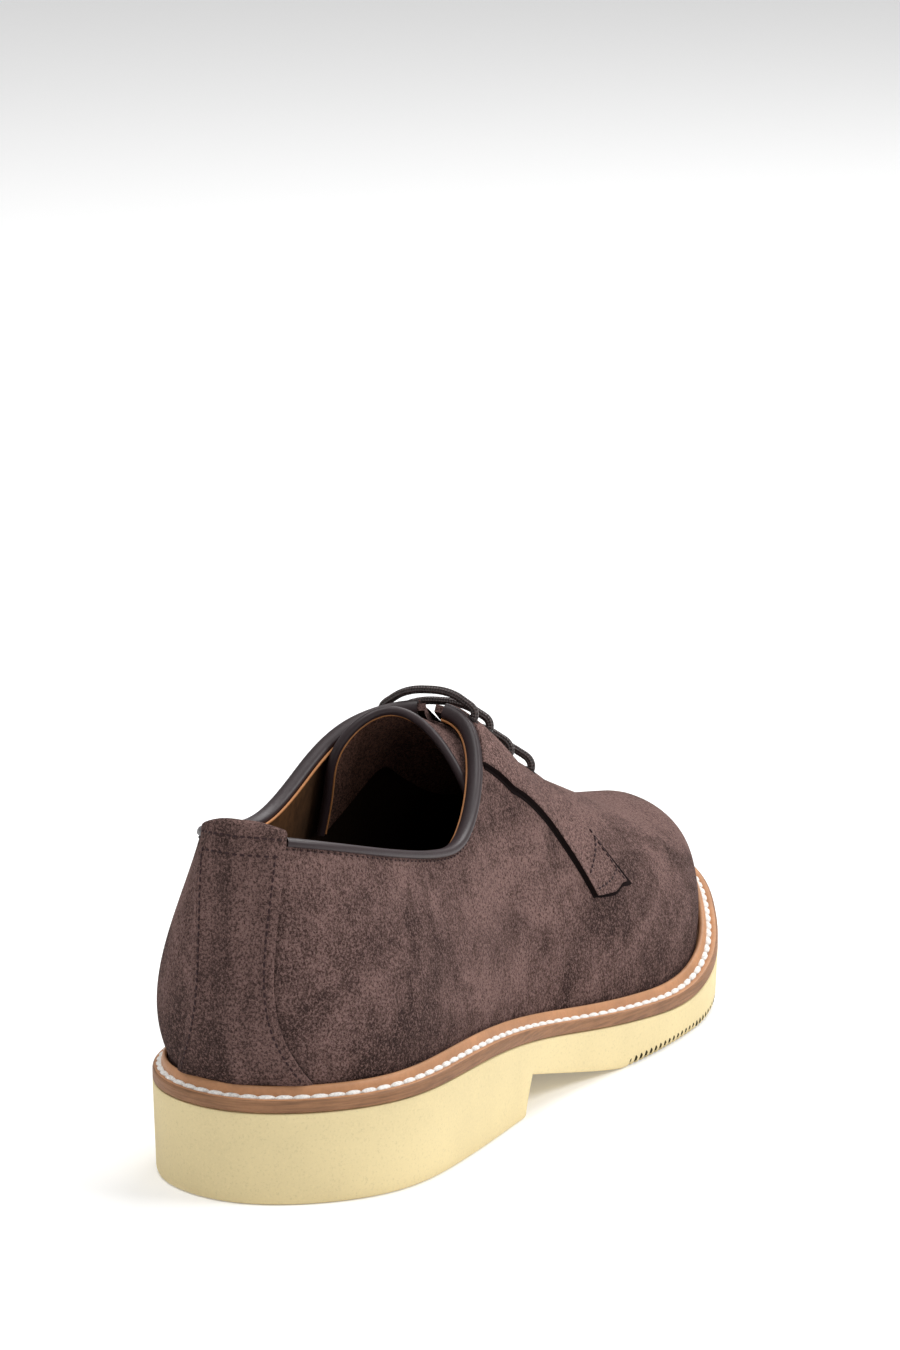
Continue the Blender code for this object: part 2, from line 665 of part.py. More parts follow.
def make_bindings():
    """Smooth leather piping over the top line, from the heel strip to the facing's corner."""
    gap, thick, lap = FACET_CLEARANCE, BINDING_THICKNESS, BINDING_LAP
    inside, middle, shoulder = -WALL - gap, -WALL / 2, -gap - thick * 0.75
    profile = [
        (BINDING_WIDTH, gap + thick * 0.6), (BINDING_WIDTH * 0.8, gap + thick), (0.0, gap + thick),
        (shoulder, gap + thick * 0.3), (-gap - thick, middle), (shoulder, inside - thick * 0.3),
        (0.0, inside - thick), (lap, inside - thick),
        (lap, inside), (-gap, inside), (-gap, inside), (-gap, middle), (-gap, gap), (-gap, gap),
        (BINDING_WIDTH / 2, gap), (BINDING_WIDTH, gap),
    ]
    start = HEEL_STRIP_WIDTH / 2 + 2 * CLEARANCE
    for name, side in (("collar_binding_outer", OUTER), ("collar_binding_inner", INNER)):
        first = turn_beside(side, start, top_share(OUTER, 0.0))
        sections = [lapped(side, turn, profile) for turn in topline_turns(side, first, 24)]
        finish(name, loft(sections), (0.06, 0.045, 0.045), 0.35)


def heel_strip_point(place, level, offset):
    """Point of the heel strip across it (-1 to 1) at a level, where 1 is the collar's edge."""
    side = OUTER if place >= 0 else INNER
    half = float(spline(HEEL_STRIP["up"], HEEL_STRIP["half"], level)) * HEEL_STRIP_WIDTH
    turn = turn_beside(side, abs(place) * half, level * top_share(OUTER, 0.0))
    level = min(level, 1.0) + max(level - 1.0, 0.0) * (1 - HEEL_TAB_ROUND * place ** 2)
    return surface(side, turn, level * top_share(side, turn), offset)


def make_heel_strip():
    """Wide strip up the back seam, standing above the collar and folded down inside it."""
    gap, thick = FACET_CLEARANCE, STRAP_THICKNESS
    length = COLLAR_HEIGHT - FOAM_AT_HEEL
    foot, top, slot = 0.014, 1 + HEEL_TAB_RISE / length, 1 + gap / length
    lap = 1 - HEEL_TAB_LAP / length
    outside, inside = gap + thick, -WALL - gap - thick
    face = np.linspace(foot, 1, 9)
    profile = [(level, outside) for level in face]
    profile += [(top - 0.02, outside), (top, outside - thick / 2), (top, inside + thick / 2)]
    profile += [(top - 0.02, inside), (lap, inside), (lap, inside + thick)]
    profile += [(slot, inside + thick)] * 2 + [(slot, gap)] * 2
    profile += [(level, gap) for level in face[::-1]]
    sections = [[heel_strip_point(place, level, offset) for level, offset in profile]
                for place in np.linspace(-1, 1, 11)]
    finish("heel_strip", loft(sections), (0.10, 0.062, 0.056), 0.9)


def facing_rows(side, across):
    """Turn and share of the points across a facing strip, row by row from the binding down."""
    start = np.linspace(CORNER - 0.0004, float(turn_of(FACING_START)), len(across))
    distance = BINDING_WIDTH + CLEARANCE
    rows = [[below_topline(side, float(t), distance) for t in start]]
    for front_along, front_up, back_along, back_up in zip(*FACING.values()):
        turns = turn_of(front_along + (back_along - front_along) * across)
        ups = front_up + (back_up - front_up) * across
        rows.append([(float(t), up * top_share(side, float(t))) for t, up in zip(turns, ups)])
    return np.array(rows)


def make_facings():
    """Suede strips that carry the lace holes and run on down the sides of the vamp."""
    across = np.linspace(0, 1, 6)
    for name, side in (("facing_outer", OUTER), ("facing_inner", INNER)):
        rows = facing_rows(side, across)
        knots = np.linspace(0, 1, len(rows))
        places = np.linspace(0, 1, 19)
        fine = [[spline(knots, rows[:, c, k], places) for c in range(len(across))] for k in (0, 1)]
        grids = [[[surface(side, float(t), float(v), offset) for t, v in zip(turns, shares)]
                  for turns, shares in zip(np.transpose(fine[0]), np.transpose(fine[1]))]
                 for offset in (FACET_CLEARANCE + STRAP_THICKNESS, FACET_CLEARANCE)]
        finish(name, slab(*grids), (0.12, 0.075, 0.066), 0.9)


def tongue_controls(row, depth, drop):
    """Control points across the tongue in one row, from its inner to its outer edge."""
    outer_along, outer_near, inner_along, inner_near, low, *place = row
    inner, outer = [[surface(side, float(turn_of(along)), v, -depth - drop)
                     for v in (low, (low + near) / 2, near)]
                    for side, along, near in ((INNER, inner_along, inner_near),
                                              (OUTER, outer_along, outer_near))]
    middle = surface(OUTER, float(turn_of(outer_along)), 1.0, -depth - drop)
    if outer_along < CORNER_ALONG:
        middle = place * np.array([HEEL_WIDTH, OUTSOLE_LENGTH, INSTEP_HEIGHT]) - (0, 0, drop)
    return [*inner, middle, *outer[::-1]]


def make_tongue():
    """Suede tongue that arches behind the throat and runs on under the facings and the vamp."""
    depth = WALL + BINDING_THICKNESS + 2 * FACET_CLEARANCE
    grids = []
    for drop in (0.0, TONGUE_THICKNESS):
        controls = np.array([tongue_controls(row, depth, drop) for row in zip(*TONGUE.values())])
        knots = np.linspace(0, 1, len(controls))
        rows = np.array([[spline(knots, controls[:, c, k], np.linspace(0, 1, 13))
                          for k in range(3)] for c in range(7)])
        grid = []
        for line in rows.transpose(2, 0, 1):
            steps = np.linalg.norm(np.diff(line, axis=0), axis=1)
            lengths = np.concatenate([[0], np.cumsum(steps)])
            places = np.linspace(0, lengths[-1], 15)
            grid.append(np.stack([spline(lengths, line[:, k], places) for k in range(3)], 1))
        grids.append(grid)
    finish("tongue", slab(*grids), (0.11, 0.068, 0.06), 0.9)


def lace_path(along, across):
    """Middle line of a straight bar of lace, from its inner to its outer hole."""
    y = along * OUTSOLE_LENGTH
    x = across * BALL_WIDTH
    rest = FACET_CLEARANCE + STRAP_THICKNESS + CLEARANCE + LACE_DIAMETER / 2
    ends = [surface(side, *on_surface(side, side * x, y), rest) for side in (INNER, OUTER)]
    crest = rib(OUTER, *on_surface(OUTER, RIBS["outer_apex"][7] * HEEL_WIDTH, y))[0]
    lift = crest[2] + rest + LACE_ARCH - (ends[0][2] + ends[1][2]) / 2
    places = np.linspace(-1, 1, 13)
    path = [ends[0] + (ends[1] - ends[0]) * (place + 1) / 2 for place in places]
    return np.array(path) + np.outer(1 - np.abs(places) ** 2.6, [0, 0, lift])


def make_laces():
    """Straight bars of waxed round lace from hole to hole, over the throat."""
    radius = LACE_DIAMETER / 2
    for number, (along, across) in enumerate(zip(*EYELETS.values()), start=1):
        path = lace_path(along, across)
        sections = []
        for before, here, after in zip([path[0], *path[:-1]], path, [*path[1:], path[-1]]):
            along_lace = (after - before) / np.linalg.norm(after - before)
            side_way = np.cross(along_lace, [0, 1, 0])
            side_way /= np.linalg.norm(side_way)
            up_way = np.cross(side_way, along_lace)
            sections.append([here + radius * (math.cos(a) * side_way + math.sin(a) * up_way)
                             for a in np.arange(8) * math.pi / 4])
        finish(f"lace_bar_{number}", loft(sections), (0.06, 0.04, 0.04), 0.4)


def clear_scene():
    for piece in list(bpy.data.objects):
        bpy.data.objects.remove(piece, do_unlink=True)
    collection = bpy.data.collections.new("suede_derby_shoe")
    bpy.context.scene.collection.children.link(collection)


def main():
    clear_scene()
    make_outsole()
    make_welt()
    make_insole()
    make_upper()
    make_heel_strip()
    make_bindings()
    make_facings()
    make_tongue()
    make_laces()


main()
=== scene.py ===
"""Looks of the right suede derby shoe: suede, leather, foam, thread and lace on its solids."""

import functools
import math

import bmesh
import bpy
import numpy as np
from mathutils import Matrix, Vector


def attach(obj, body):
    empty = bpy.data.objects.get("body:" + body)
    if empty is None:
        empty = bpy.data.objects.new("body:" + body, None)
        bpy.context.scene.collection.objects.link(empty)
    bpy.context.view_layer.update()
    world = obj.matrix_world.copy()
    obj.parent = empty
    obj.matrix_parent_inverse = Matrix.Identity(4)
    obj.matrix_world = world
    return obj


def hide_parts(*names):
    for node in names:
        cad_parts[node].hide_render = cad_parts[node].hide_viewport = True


bl_info = {
    "name": "Suede derby shoe",
    "version": (1, 0, 0),
    "blender": (4, 5, 0),
    "location": "3D View > Sidebar > Shoe",
    "description": "Builds a right suede derby shoe on a tan welt and a cream foam sole",
    "category": "Add Mesh",
}

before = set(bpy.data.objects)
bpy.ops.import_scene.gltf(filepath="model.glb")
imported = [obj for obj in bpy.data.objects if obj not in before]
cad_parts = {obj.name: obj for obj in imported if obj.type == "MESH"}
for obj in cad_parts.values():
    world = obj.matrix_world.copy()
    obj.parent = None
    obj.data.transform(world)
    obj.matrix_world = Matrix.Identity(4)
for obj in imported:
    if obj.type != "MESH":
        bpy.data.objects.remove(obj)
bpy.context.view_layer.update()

# Sole, in metres
OUTSOLE_LENGTH = 0.300
HEEL_WIDTH = 0.084
WAIST_WIDTH = 0.076
BALL_WIDTH = 0.099
HEEL_CENTRE = 0.040
FOAM_AT_HEEL = 0.0265
FOAM_AT_BALL = 0.0110
FOAM_AT_TOE = 0.0145
TOE_SPRING = 0.0135
HEEL_BREAST = 0.1075
BREAST_RAKE = 0.0055
ARCH_RISE = 0.0115
TREAD_START = 0.166
SPRING_START = 0.214
EDGE_TAPER = 0.0007
RIDGE_PITCH = 0.0030
RIDGE_DEPTH = 0.0014
RIDGES_END = 0.290

# Welt, measured inwards from the edge of the sole
WELT_THICKNESS = 0.0035
WELT_WIDTH = 0.0105
STITCH_INSET = 0.0032
GROOVE_DEPTH = 0.0007
GROOVE_WIDTH = 0.0018
BEAD_HEIGHT = 0.0030
BEAD_WIDTH = 0.0026
FEATHER_INSET = 0.0064

# Upper and what lies on it
WALL = 0.0022
INSTEP_HEIGHT = 0.1130
COLLAR_HEIGHT = 0.1020
THROAT_GAP_TOP = 0.0016
THROAT_GAP_LOW = 0.0050
STRAP_THICKNESS = 0.0012
BINDING_WIDTH = 0.0014
BINDING_THICKNESS = 0.0008
BINDING_LAP = 0.0016
HEEL_STRIP_WIDTH = 0.0290
HEEL_TAB_RISE = 0.0050
HEEL_TAB_LAP = 0.0120
HEEL_TAB_ROUND = 0.35
TONGUE_THICKNESS = 0.0024
LACE_ARCH = 0.0004
CLEARANCE = 0.0003
FACET_CLEARANCE = 0.0006

# Finer sizes that only the finish has, in metres
SOLE_ROUND = 0.0012
SOLE_TOP_ROUND = 0.0006
STRIP_BULGE = 0.00035
STRIP_BULGE_WAVES = 7.5
STRIP_SEAM_INSET = 0.0026
STRIP_SEAM_LEVEL = 0.940
FACING_WIDTH = 0.026
FACING_LENGTH = 0.075
FACING_ROUND = 0.0004
FACING_LIFT = 0.0003
TONGUE_TRIM = 0.0003
LINING_EDGE_RADIUS = 0.0004
LINING_EDGE_DROP = 0.0006
TONGUE_EDGE_RADIUS = 0.00032
STAND_OFF = 0.001

# Pitch, length, width and height of the dark stitches
STRIP_STITCH = (0.0021, 0.0016, 0.0007, 0.0007)
FACING_STITCH = (0.0021, 0.0016, 0.0007, 0.0006)
BINDING_STITCH = (0.0023, 0.0011, 0.0005, 0.0005)
WELT_STITCH_WIDTH = 0.0027
WELT_STITCH_HEIGHT = 0.0018
WELT_STITCH_REACH = 1.18

# Radius and rise of the rings round a punched lace hole, from its rim inwards
HOLE_RINGS = ((0.0019, -0.0002), (0.0017, 0.0001), (0.0010, -0.0004))

# Camera and lights
CAMERA_PLACE = (0.7985, -1.6486, 0.5630)
CAMERA_AXES = ((0.91067, 0.41312, -0.0031), (-0.09008, 0.20589, 0.97442),
               (0.40319, -0.8871, 0.22471))
CAMERA_LENS = 181.798
FLOOR_REACH = 20
WORLD_STRENGTH = 0.40
LIGHT_TARGET = (0, 0.1, 0.04)
LIGHTS = (
    ("key", (-0.25, -0.35, 1.9), 0.7, 14),
    ("side", (1.3, 0.45, 1.3), 0.9, 17),
    ("back", (0.1, 1.3, 1.6), 1.2, 20),
)

OUTER = 1
INNER = -1


def columns(names, rows):
    """A short table as one array for each named column."""
    return dict(zip(names.split(), np.array(rows, dtype=float).T))


# Reach of the sole's edge to each side of the axis, as shares of the width named in the row
SOLE_OUTLINE = columns("along width inner outer inner_welt", (
    (0.030, HEEL_WIDTH, 0.287, 0.277, 0.82),
    (0.100, HEEL_WIDTH, 0.445, 0.467, 0.66),
    (0.200, HEEL_WIDTH, 0.479, 0.519, 0.68),
    (0.320, HEEL_WIDTH, 0.435, 0.513, 0.82),
    (0.440, WAIST_WIDTH, 0.428, 0.570, 0.95),
    (0.560, BALL_WIDTH, 0.370, 0.497, 1.00),
    (0.680, BALL_WIDTH, 0.465, 0.525, 1.00),
    (0.780, BALL_WIDTH, 0.504, 0.493, 1.00),
    (0.870, BALL_WIDTH, 0.459, 0.381, 1.00),
    (0.945, BALL_WIDTH, 0.333, 0.239, 1.00),
))

FOAM_TOP = columns("along size share", (
    (0.00, FOAM_AT_HEEL, 1.000),
    (0.15, FOAM_AT_HEEL, 0.990),
    (0.30, FOAM_AT_HEEL, 0.925),
    (0.50, FOAM_AT_HEEL, 0.597),
    (0.60, FOAM_AT_BALL, 1.130),
    (0.70, FOAM_AT_BALL, 1.000),
    (0.85, FOAM_AT_TOE + TOE_SPRING, 0.714),
    (1.00, FOAM_AT_TOE + TOE_SPRING, 1.000),
))

# Ribs rise from the welt at a share of the length and end at an apex of the last
RIBS = columns("along apex_along apex_up drop outer_apex outer_lean outer_rise outer_reach"
               " inner_apex inner_lean inner_rise inner_reach", (
    (0.000, 0.030, 1.060, 0.36, 0.000, 0.10, 0.30, 0.00, 0.000, 0.10, 0.30, 0.00),
    (0.030, 0.042, 1.060, 0.36, 0.125, 0.09, 0.30, 0.00, -0.115, 0.12, 0.30, 0.00),
    (0.100, 0.100, 1.060, 0.36, 0.225, 0.06, 0.30, 0.00, -0.210, 0.13, 0.30, 0.00),
    (0.200, 0.192, 1.060, 0.38, 0.270, 0.03, 0.32, 0.00, -0.275, 0.10, 0.32, 0.00),
    (0.320, 0.312, 1.055, 0.34, 0.255, 0.01, 0.36, 0.05, -0.270, 0.08, 0.36, 0.10),
    (0.400, 0.396, 1.035, 0.12, 0.135, -0.02, 0.50, 0.35, -0.155, 0.05, 0.52, 0.60),
    (0.450, 0.442, 1.000, 0.00, 0.012, -0.03, 0.62, 0.58, 0.012, 0.03, 0.62, 0.84),
    (0.520, 0.500, 0.885, 0.00, 0.010, -0.02, 0.60, 0.58, 0.010, 0.04, 0.60, 0.80),
    (0.600, 0.567, 0.786, 0.00, 0.006, 0.03, 0.52, 0.56, 0.006, 0.05, 0.52, 0.70),
    (0.680, 0.633, 0.711, 0.00, 0.002, 0.06, 0.50, 0.55, 0.002, 0.06, 0.50, 0.60),
    (0.760, 0.697, 0.640, 0.00, 0.000, 0.08, 0.52, 0.54, 0.000, 0.08, 0.52, 0.57),
    (0.840, 0.757, 0.574, 0.00, -0.002, 0.11, 0.56, 0.54, -0.002, 0.11, 0.56, 0.55),
    (0.910, 0.803, 0.540, 0.00, -0.004, 0.15, 0.60, 0.55, -0.004, 0.14, 0.60, 0.55),
    (0.970, 0.838, 0.520, 0.00, -0.008, 0.18, 0.66, 0.55, -0.008, 0.18, 0.66, 0.55),
    (1.000, 0.855, 0.512, 0.00, -0.010, 0.20, 0.70, 0.55, -0.010, 0.20, 0.70, 0.55),
))
CREST_ALONG = 0.320
CORNER_ALONG = 0.450
THROAT_ALONG = 0.600
LACING_ALONG = 0.520

TOPLINE = columns("along inner outer", (
    (0.000, 1.000, 1.000),
    (0.030, 0.995, 0.993),
    (0.100, 0.955, 0.945),
    (0.200, 0.895, 0.868),
    (0.270, 0.880, 0.823),
    (0.320, 0.940, 0.818),
    (0.360, 1.010, 0.868),
    (0.400, 1.070, 0.960),
    (0.420, 1.088, 1.020),
    (0.437, 1.098, 1.072),
    (0.450, 1.104, 1.104),
))

FACING_START = 0.408
FACING = columns("front_along front_up back_along back_up", (
    (0.493, 0.981, 0.435, 0.715),
    (0.509, 0.978, 0.446, 0.586),
    (0.526, 0.972, 0.457, 0.508),
    (0.547, 0.955, 0.479, 0.487),
    (0.568, 0.925, 0.503, 0.466),
    (0.583, 0.830, 0.522, 0.417),
    (0.590, 0.640, 0.534, 0.364),
    (0.597, 0.465, 0.542, 0.320),
    (0.617, 0.335, 0.548, 0.283),
))

EYELETS = columns("along across", (
    (0.441, 0.137),
    (0.467, 0.150),
    (0.509, 0.160),
    (0.553, 0.170),
))

HEEL_STRIP = columns("up half", (
    (0.00, 0.740),
    (0.20, 0.520),
    (0.45, 0.420),
    (0.70, 0.430),
    (0.90, 0.450),
    (1.00, 0.460),
))

TONGUE = columns("outer_along outer inner_along inner low"
                 " middle_across middle_along middle_up", (
    (0.400, 0.580, 0.365, 0.770, 0.470, -0.070, 0.389, 1.016),
    (0.421, 0.620, 0.391, 0.760, 0.480, -0.060, 0.411, 0.988),
    (0.440, 0.680, 0.419, 0.760, 0.510, -0.040, 0.434, 0.957),
    (0.458, 0.830, 0.448, 0.820, 0.560, 0.000, 0.450, 0.940),
    (0.500, 0.850, 0.498, 0.850, 0.610, 0.000, 0.500, 0.850),
    (0.560, 0.860, 0.560, 0.860, 0.670, 0.000, 0.550, 0.800),
    (0.620, 0.880, 0.620, 0.880, 0.740, 0.000, 0.600, 0.750),
    (0.660, 0.900, 0.660, 0.900, 0.800, 0.000, 0.650, 0.700),
))

# Soft troughs (minus) and ridges (plus) of the worn suede on the outer side and the inner side:
# a place as turn and share, its reach along and up, its slant, and its height in millimetres
CREASES = (
    (OUTER, 0.34, 0.42, 0.030, 0.30, 0.25, -0.55),
    (OUTER, 0.39, 0.40, 0.022, 0.26, 0.28, 0.45),
    (OUTER, 0.43, 0.38, 0.022, 0.24, 0.30, -0.45),
    (OUTER, 0.27, 0.30, 0.030, 0.20, 0.10, 0.50),
    (OUTER, 0.52, 0.45, 0.030, 0.20, 0.35, -0.40),
    (OUTER, 0.60, 0.30, 0.045, 0.16, 0.00, 0.35),
    (INNER, 0.36, 0.42, 0.028, 0.28, 0.25, -0.50),
    (INNER, 0.42, 0.40, 0.022, 0.24, 0.30, 0.45),
    (INNER, 0.28, 0.32, 0.030, 0.22, 0.10, 0.45),
    (INNER, 0.54, 0.45, 0.030, 0.20, 0.35, -0.40),
)


def spline(knots, values, x, flat_ends=False):
    """Natural cubic spline through a column of a table, or one with level ends."""
    knots = np.asarray(knots, dtype=float)
    values = np.asarray(values, dtype=float)
    count = len(knots)
    step = np.diff(knots)
    slope = np.diff(values) / step
    matrix = np.eye(count)
    known = np.zeros(count)
    for i in range(1, count - 1):
        matrix[i, i - 1:i + 2] = step[i - 1], 2 * (step[i - 1] + step[i]), step[i]
        known[i] = 6 * (slope[i] - slope[i - 1])
    if flat_ends:
        matrix[0, :2] = 2 * step[0], step[0]
        known[0] = 6 * slope[0]
        matrix[-1, -2:] = step[-1], 2 * step[-1]
        known[-1] = -6 * slope[-1]
    bend = np.linalg.solve(matrix, known)
    x = np.clip(x, knots[0], knots[-1])
    i = np.clip(np.searchsorted(knots, x) - 1, 0, count - 2)
    a = (knots[i + 1] - x) / step[i]
    b = 1 - a
    cubic = ((a ** 3 - a) * bend[i] + (b ** 3 - b) * bend[i + 1]) * step[i] ** 2 / 6
    return a * values[i] + b * values[i + 1] + cubic


def path_spline(points, places):
    """Smooth path through points, read at shares of its length."""
    points = np.asarray(points, dtype=float)
    steps = np.linalg.norm(np.diff(points, axis=0), axis=1)
    lengths = np.concatenate([[0], np.cumsum(steps)])
    return np.stack([spline(lengths, points[:, k], np.asarray(places) * lengths[-1])
                     for k in range(points.shape[1])], 1)


def turn_of(along):
    """Turn from the heel (0) to the toe (1) of a share of the length."""
    return np.arccos(1 - 2 * np.asarray(along, dtype=float)) / math.pi


def closed_curve(points, per_span):
    """Smooth closed curve through a loop of points in the plane."""
    points = np.asarray(points, dtype=float)
    count = len(points)
    step = np.linalg.norm(np.roll(points, -1, 0) - points, axis=1) ** 0.7
    slope = (np.roll(points, -1, 0) - points) / step[:, None]
    matrix = np.zeros((count, count))
    for i in range(count):
        matrix[i, i - 1] += step[i - 1]
        matrix[i, i] += 2 * (step[i - 1] + step[i])
        matrix[i, (i + 1) % count] += step[i]
    bend = np.linalg.solve(matrix, 6 * (slope - np.roll(slope, 1, 0)))
    curve = []
    for i in range(count):
        j = (i + 1) % count
        for b in np.arange(per_span) / per_span:
            a = 1 - b
            cubic = ((a ** 3 - a) * bend[i] + (b ** 3 - b) * bend[j]) * step[i] ** 2 / 6
            curve.append(a * points[i] + b * points[j] + cubic)
    return np.array(curve)


def side_outlines():
    """Edge of the sole from the heel to the toe, for the outer and the inner side."""
    rows = SOLE_OUTLINE
    y = rows["along"] * OUTSOLE_LENGTH
    outer = np.stack([rows["outer"] * rows["width"], y], 1)
    inner = np.stack([-rows["inner"] * rows["width"], y], 1)
    toe = [(-0.011 * BALL_WIDTH, OUTSOLE_LENGTH)]
    loop = closed_curve(np.concatenate([[(0, 0)], outer, toe, inner[::-1]]), 80)
    loop = np.roll(loop, -int(np.argmin(loop[:, 1])), axis=0)
    loop[:, 1] = (loop[:, 1] - loop[0, 1]) * OUTSOLE_LENGTH / np.ptp(loop[:, 1])
    half = int(np.argmax(loop[:, 1]))
    return {OUTER: loop[:half + 1], INNER: np.concatenate([loop[half:], loop[:1]])[::-1]}


OUTLINE = side_outlines()
CREST_START = float(turn_of(CREST_ALONG))
CORNER = float(turn_of(CORNER_ALONG))
THROAT = float(turn_of(THROAT_ALONG))


def edge_frame(side, turns):
    """Points of the sole's edge in plan and the directions that lead outwards from it."""
    turns = np.asarray(turns, dtype=float)
    line = OUTLINE[side]
    y = OUTSOLE_LENGTH * (1 - np.cos(math.pi * turns)) / 2
    lengths = np.concatenate([[0], np.cumsum(np.linalg.norm(np.diff(line, axis=0), axis=1))])
    here = np.interp(y, np.maximum.accumulate(line[:, 1]), lengths)
    point, before, after = [
        np.stack([np.interp(here + step, lengths, line[:, k]) for k in (0, 1)], -1)
        for step in (0, -0.003, 0.003)]
    along = after - before
    along /= np.linalg.norm(along, axis=-1, keepdims=True)
    outwards = np.stack([along[..., 1], -along[..., 0]], -1) * side
    point[turns <= 0], outwards[turns <= 0] = line[0], (0, -1)
    point[turns >= 1], outwards[turns >= 1] = line[-1], (0, 1)
    return point, outwards


def welt_share(side, turns):
    """Width of the welt as a share of its full width."""
    if side == OUTER:
        return np.ones_like(turns)
    knots = turn_of(np.concatenate([[0], SOLE_OUTLINE["along"], [1]]))
    return spline(knots, np.concatenate([[1], SOLE_OUTLINE["inner_welt"], [1]]), turns)


def foam_top(y):
    """Height of the foam under the welt."""
    return spline(FOAM_TOP["along"], FOAM_TOP["size"] * FOAM_TOP["share"], y / OUTSOLE_LENGTH)


def foam_bottom(y):
    """Height of the sole's underside: heel block, breast, arch, tread and toe spring."""
    y = np.asarray(y, dtype=float)
    top_of_breast = HEEL_BREAST + BREAST_RAKE
    breast = ARCH_RISE * (np.clip(y - HEEL_BREAST, 0, None) / BREAST_RAKE) ** 0.8
    arch = (TREAD_START - y) / (TREAD_START - top_of_breast)
    arch = ARCH_RISE * np.clip(arch, 0, None) ** 1.15
    lift = np.clip((y - SPRING_START) / (OUTSOLE_LENGTH - SPRING_START), 0, None)
    return np.where(y < top_of_breast, breast, np.where(y < TREAD_START, arch,
                                                        TOE_SPRING * lift ** 1.8))


def tread_ridge(y):
    """Depth of the moulded ridges across the forefoot, cut up into the foam."""
    wave = np.abs(((y - TREAD_START) / RIDGE_PITCH) % 1 - 0.5) * 2
    fade = np.clip((y - TREAD_START) / 0.004, 0, 1) * np.clip((RIDGES_END - y) / 0.003, 0, 1)
    return RIDGE_DEPTH * np.clip(wave * 1.6 - 0.3, 0, 1) * fade


def rib_value(name, turns):
    level = not name.endswith("apex")
    return spline(turn_of(RIBS["along"]), RIBS[name], turns, flat_ends=level)


def apexes(side, turns):
    """Upper ends of ribs; both sides share them from the corner to the toe."""
    across = rib_value("outer_apex", turns)
    if side == INNER:
        across = np.where(turns >= CORNER, across, rib_value("inner_apex", turns))
    return np.stack([across * HEEL_WIDTH, rib_value("apex_along", turns) * OUTSOLE_LENGTH,
                     rib_value("apex_up", turns) * INSTEP_HEIGHT], -1)


def rib_controls(side, turns):
    """Four control points of each rib, from the top of the welt's bead to its apex."""
    point, outwards = edge_frame(side, turns)
    plan = point - outwards * (FEATHER_INSET * welt_share(side, turns))[:, None]
    rise_of_bead = CLEARANCE + WELT_THICKNESS + BEAD_HEIGHT
    foot = np.column_stack([plan, foam_top(plan[:, 1]) + rise_of_bead])
    end = apexes(side, turns)
    height = end[:, 2] - foot[:, 2]
    name = "outer_" if side == OUTER else "inner_"
    lean = rib_value(name + "lean", turns) * height
    low = foot + np.column_stack([outwards * lean[:, None],
                                  rib_value(name + "rise", turns) * height])
    handle = (foot - end) * rib_value(name + "reach", turns)[:, None]
    nudge = 0.004
    middle = np.clip(turns, nudge, 1 - 6 * nudge)
    ahead, behind = apexes(side, middle + nudge), apexes(side, middle - nudge)
    crest = np.clip((turns - CREST_START) / (CORNER - CREST_START), 0, 1)
    slope = (ahead[:, 2] - behind[:, 2]) / (ahead[:, 1] - behind[:, 1]) * crest
    handle[:, 2] = slope * handle[:, 1] - rib_value("drop", turns) * height
    return np.stack([foot, low, end + handle, end], 1)


GRID = np.linspace(0, 1, 2401)
CONTROLS = {side: rib_controls(side, GRID) for side in (OUTER, INNER)}


def rib(side, turns, shares):
    """Points of the upper's outer face; a share is 0 at the welt and 1 at the apex."""
    turns, v = np.broadcast_arrays(np.asarray(turns, float), np.asarray(shares, float))
    place = np.clip(turns, 0, 1) * (len(GRID) - 1)
    low = np.minimum(place.astype(int), len(GRID) - 2)
    part = (place - low)[..., None, None]
    c = CONTROLS[side][low] * (1 - part) + CONTROLS[side][low + 1] * part
    v = v[..., None]
    return ((1 - v) ** 3 * c[..., 0, :] + 3 * v * (1 - v) ** 2 * c[..., 1, :]
            + 3 * v ** 2 * (1 - v) * c[..., 2, :] + v ** 3 * c[..., 3, :])


@functools.lru_cache(maxsize=None)
def top_share(side, turn):
    """Where a rib is cut: at the top line of the collar, at the throat, or not at all."""
    if turn >= THROAT:
        return 1.0
    v = np.linspace(0, 1, 321)
    points = rib(side, turn, v)
    if turn < CORNER:
        name = "outer" if side == OUTER else "inner"
        share = spline(turn_of(TOPLINE["along"]), TOPLINE[name], turn)
        return float(np.interp(share * COLLAR_HEIGHT, points[:, 2], v))
    down = (turn - CORNER) / (THROAT - CORNER)
    gap = THROAT_GAP_TOP + (THROAT_GAP_LOW - THROAT_GAP_TOP) * down
    gap *= math.sqrt(max(0.0, 1 - down ** 8))
    away = np.abs(points[:, 0] - points[-1, 0])
    return float(np.interp(-gap, -away, v))


def top_shares(side, turns):
    return np.array([top_share(side, round(float(t), 9)) for t in np.ravel(turns)]).reshape(
        np.shape(turns))


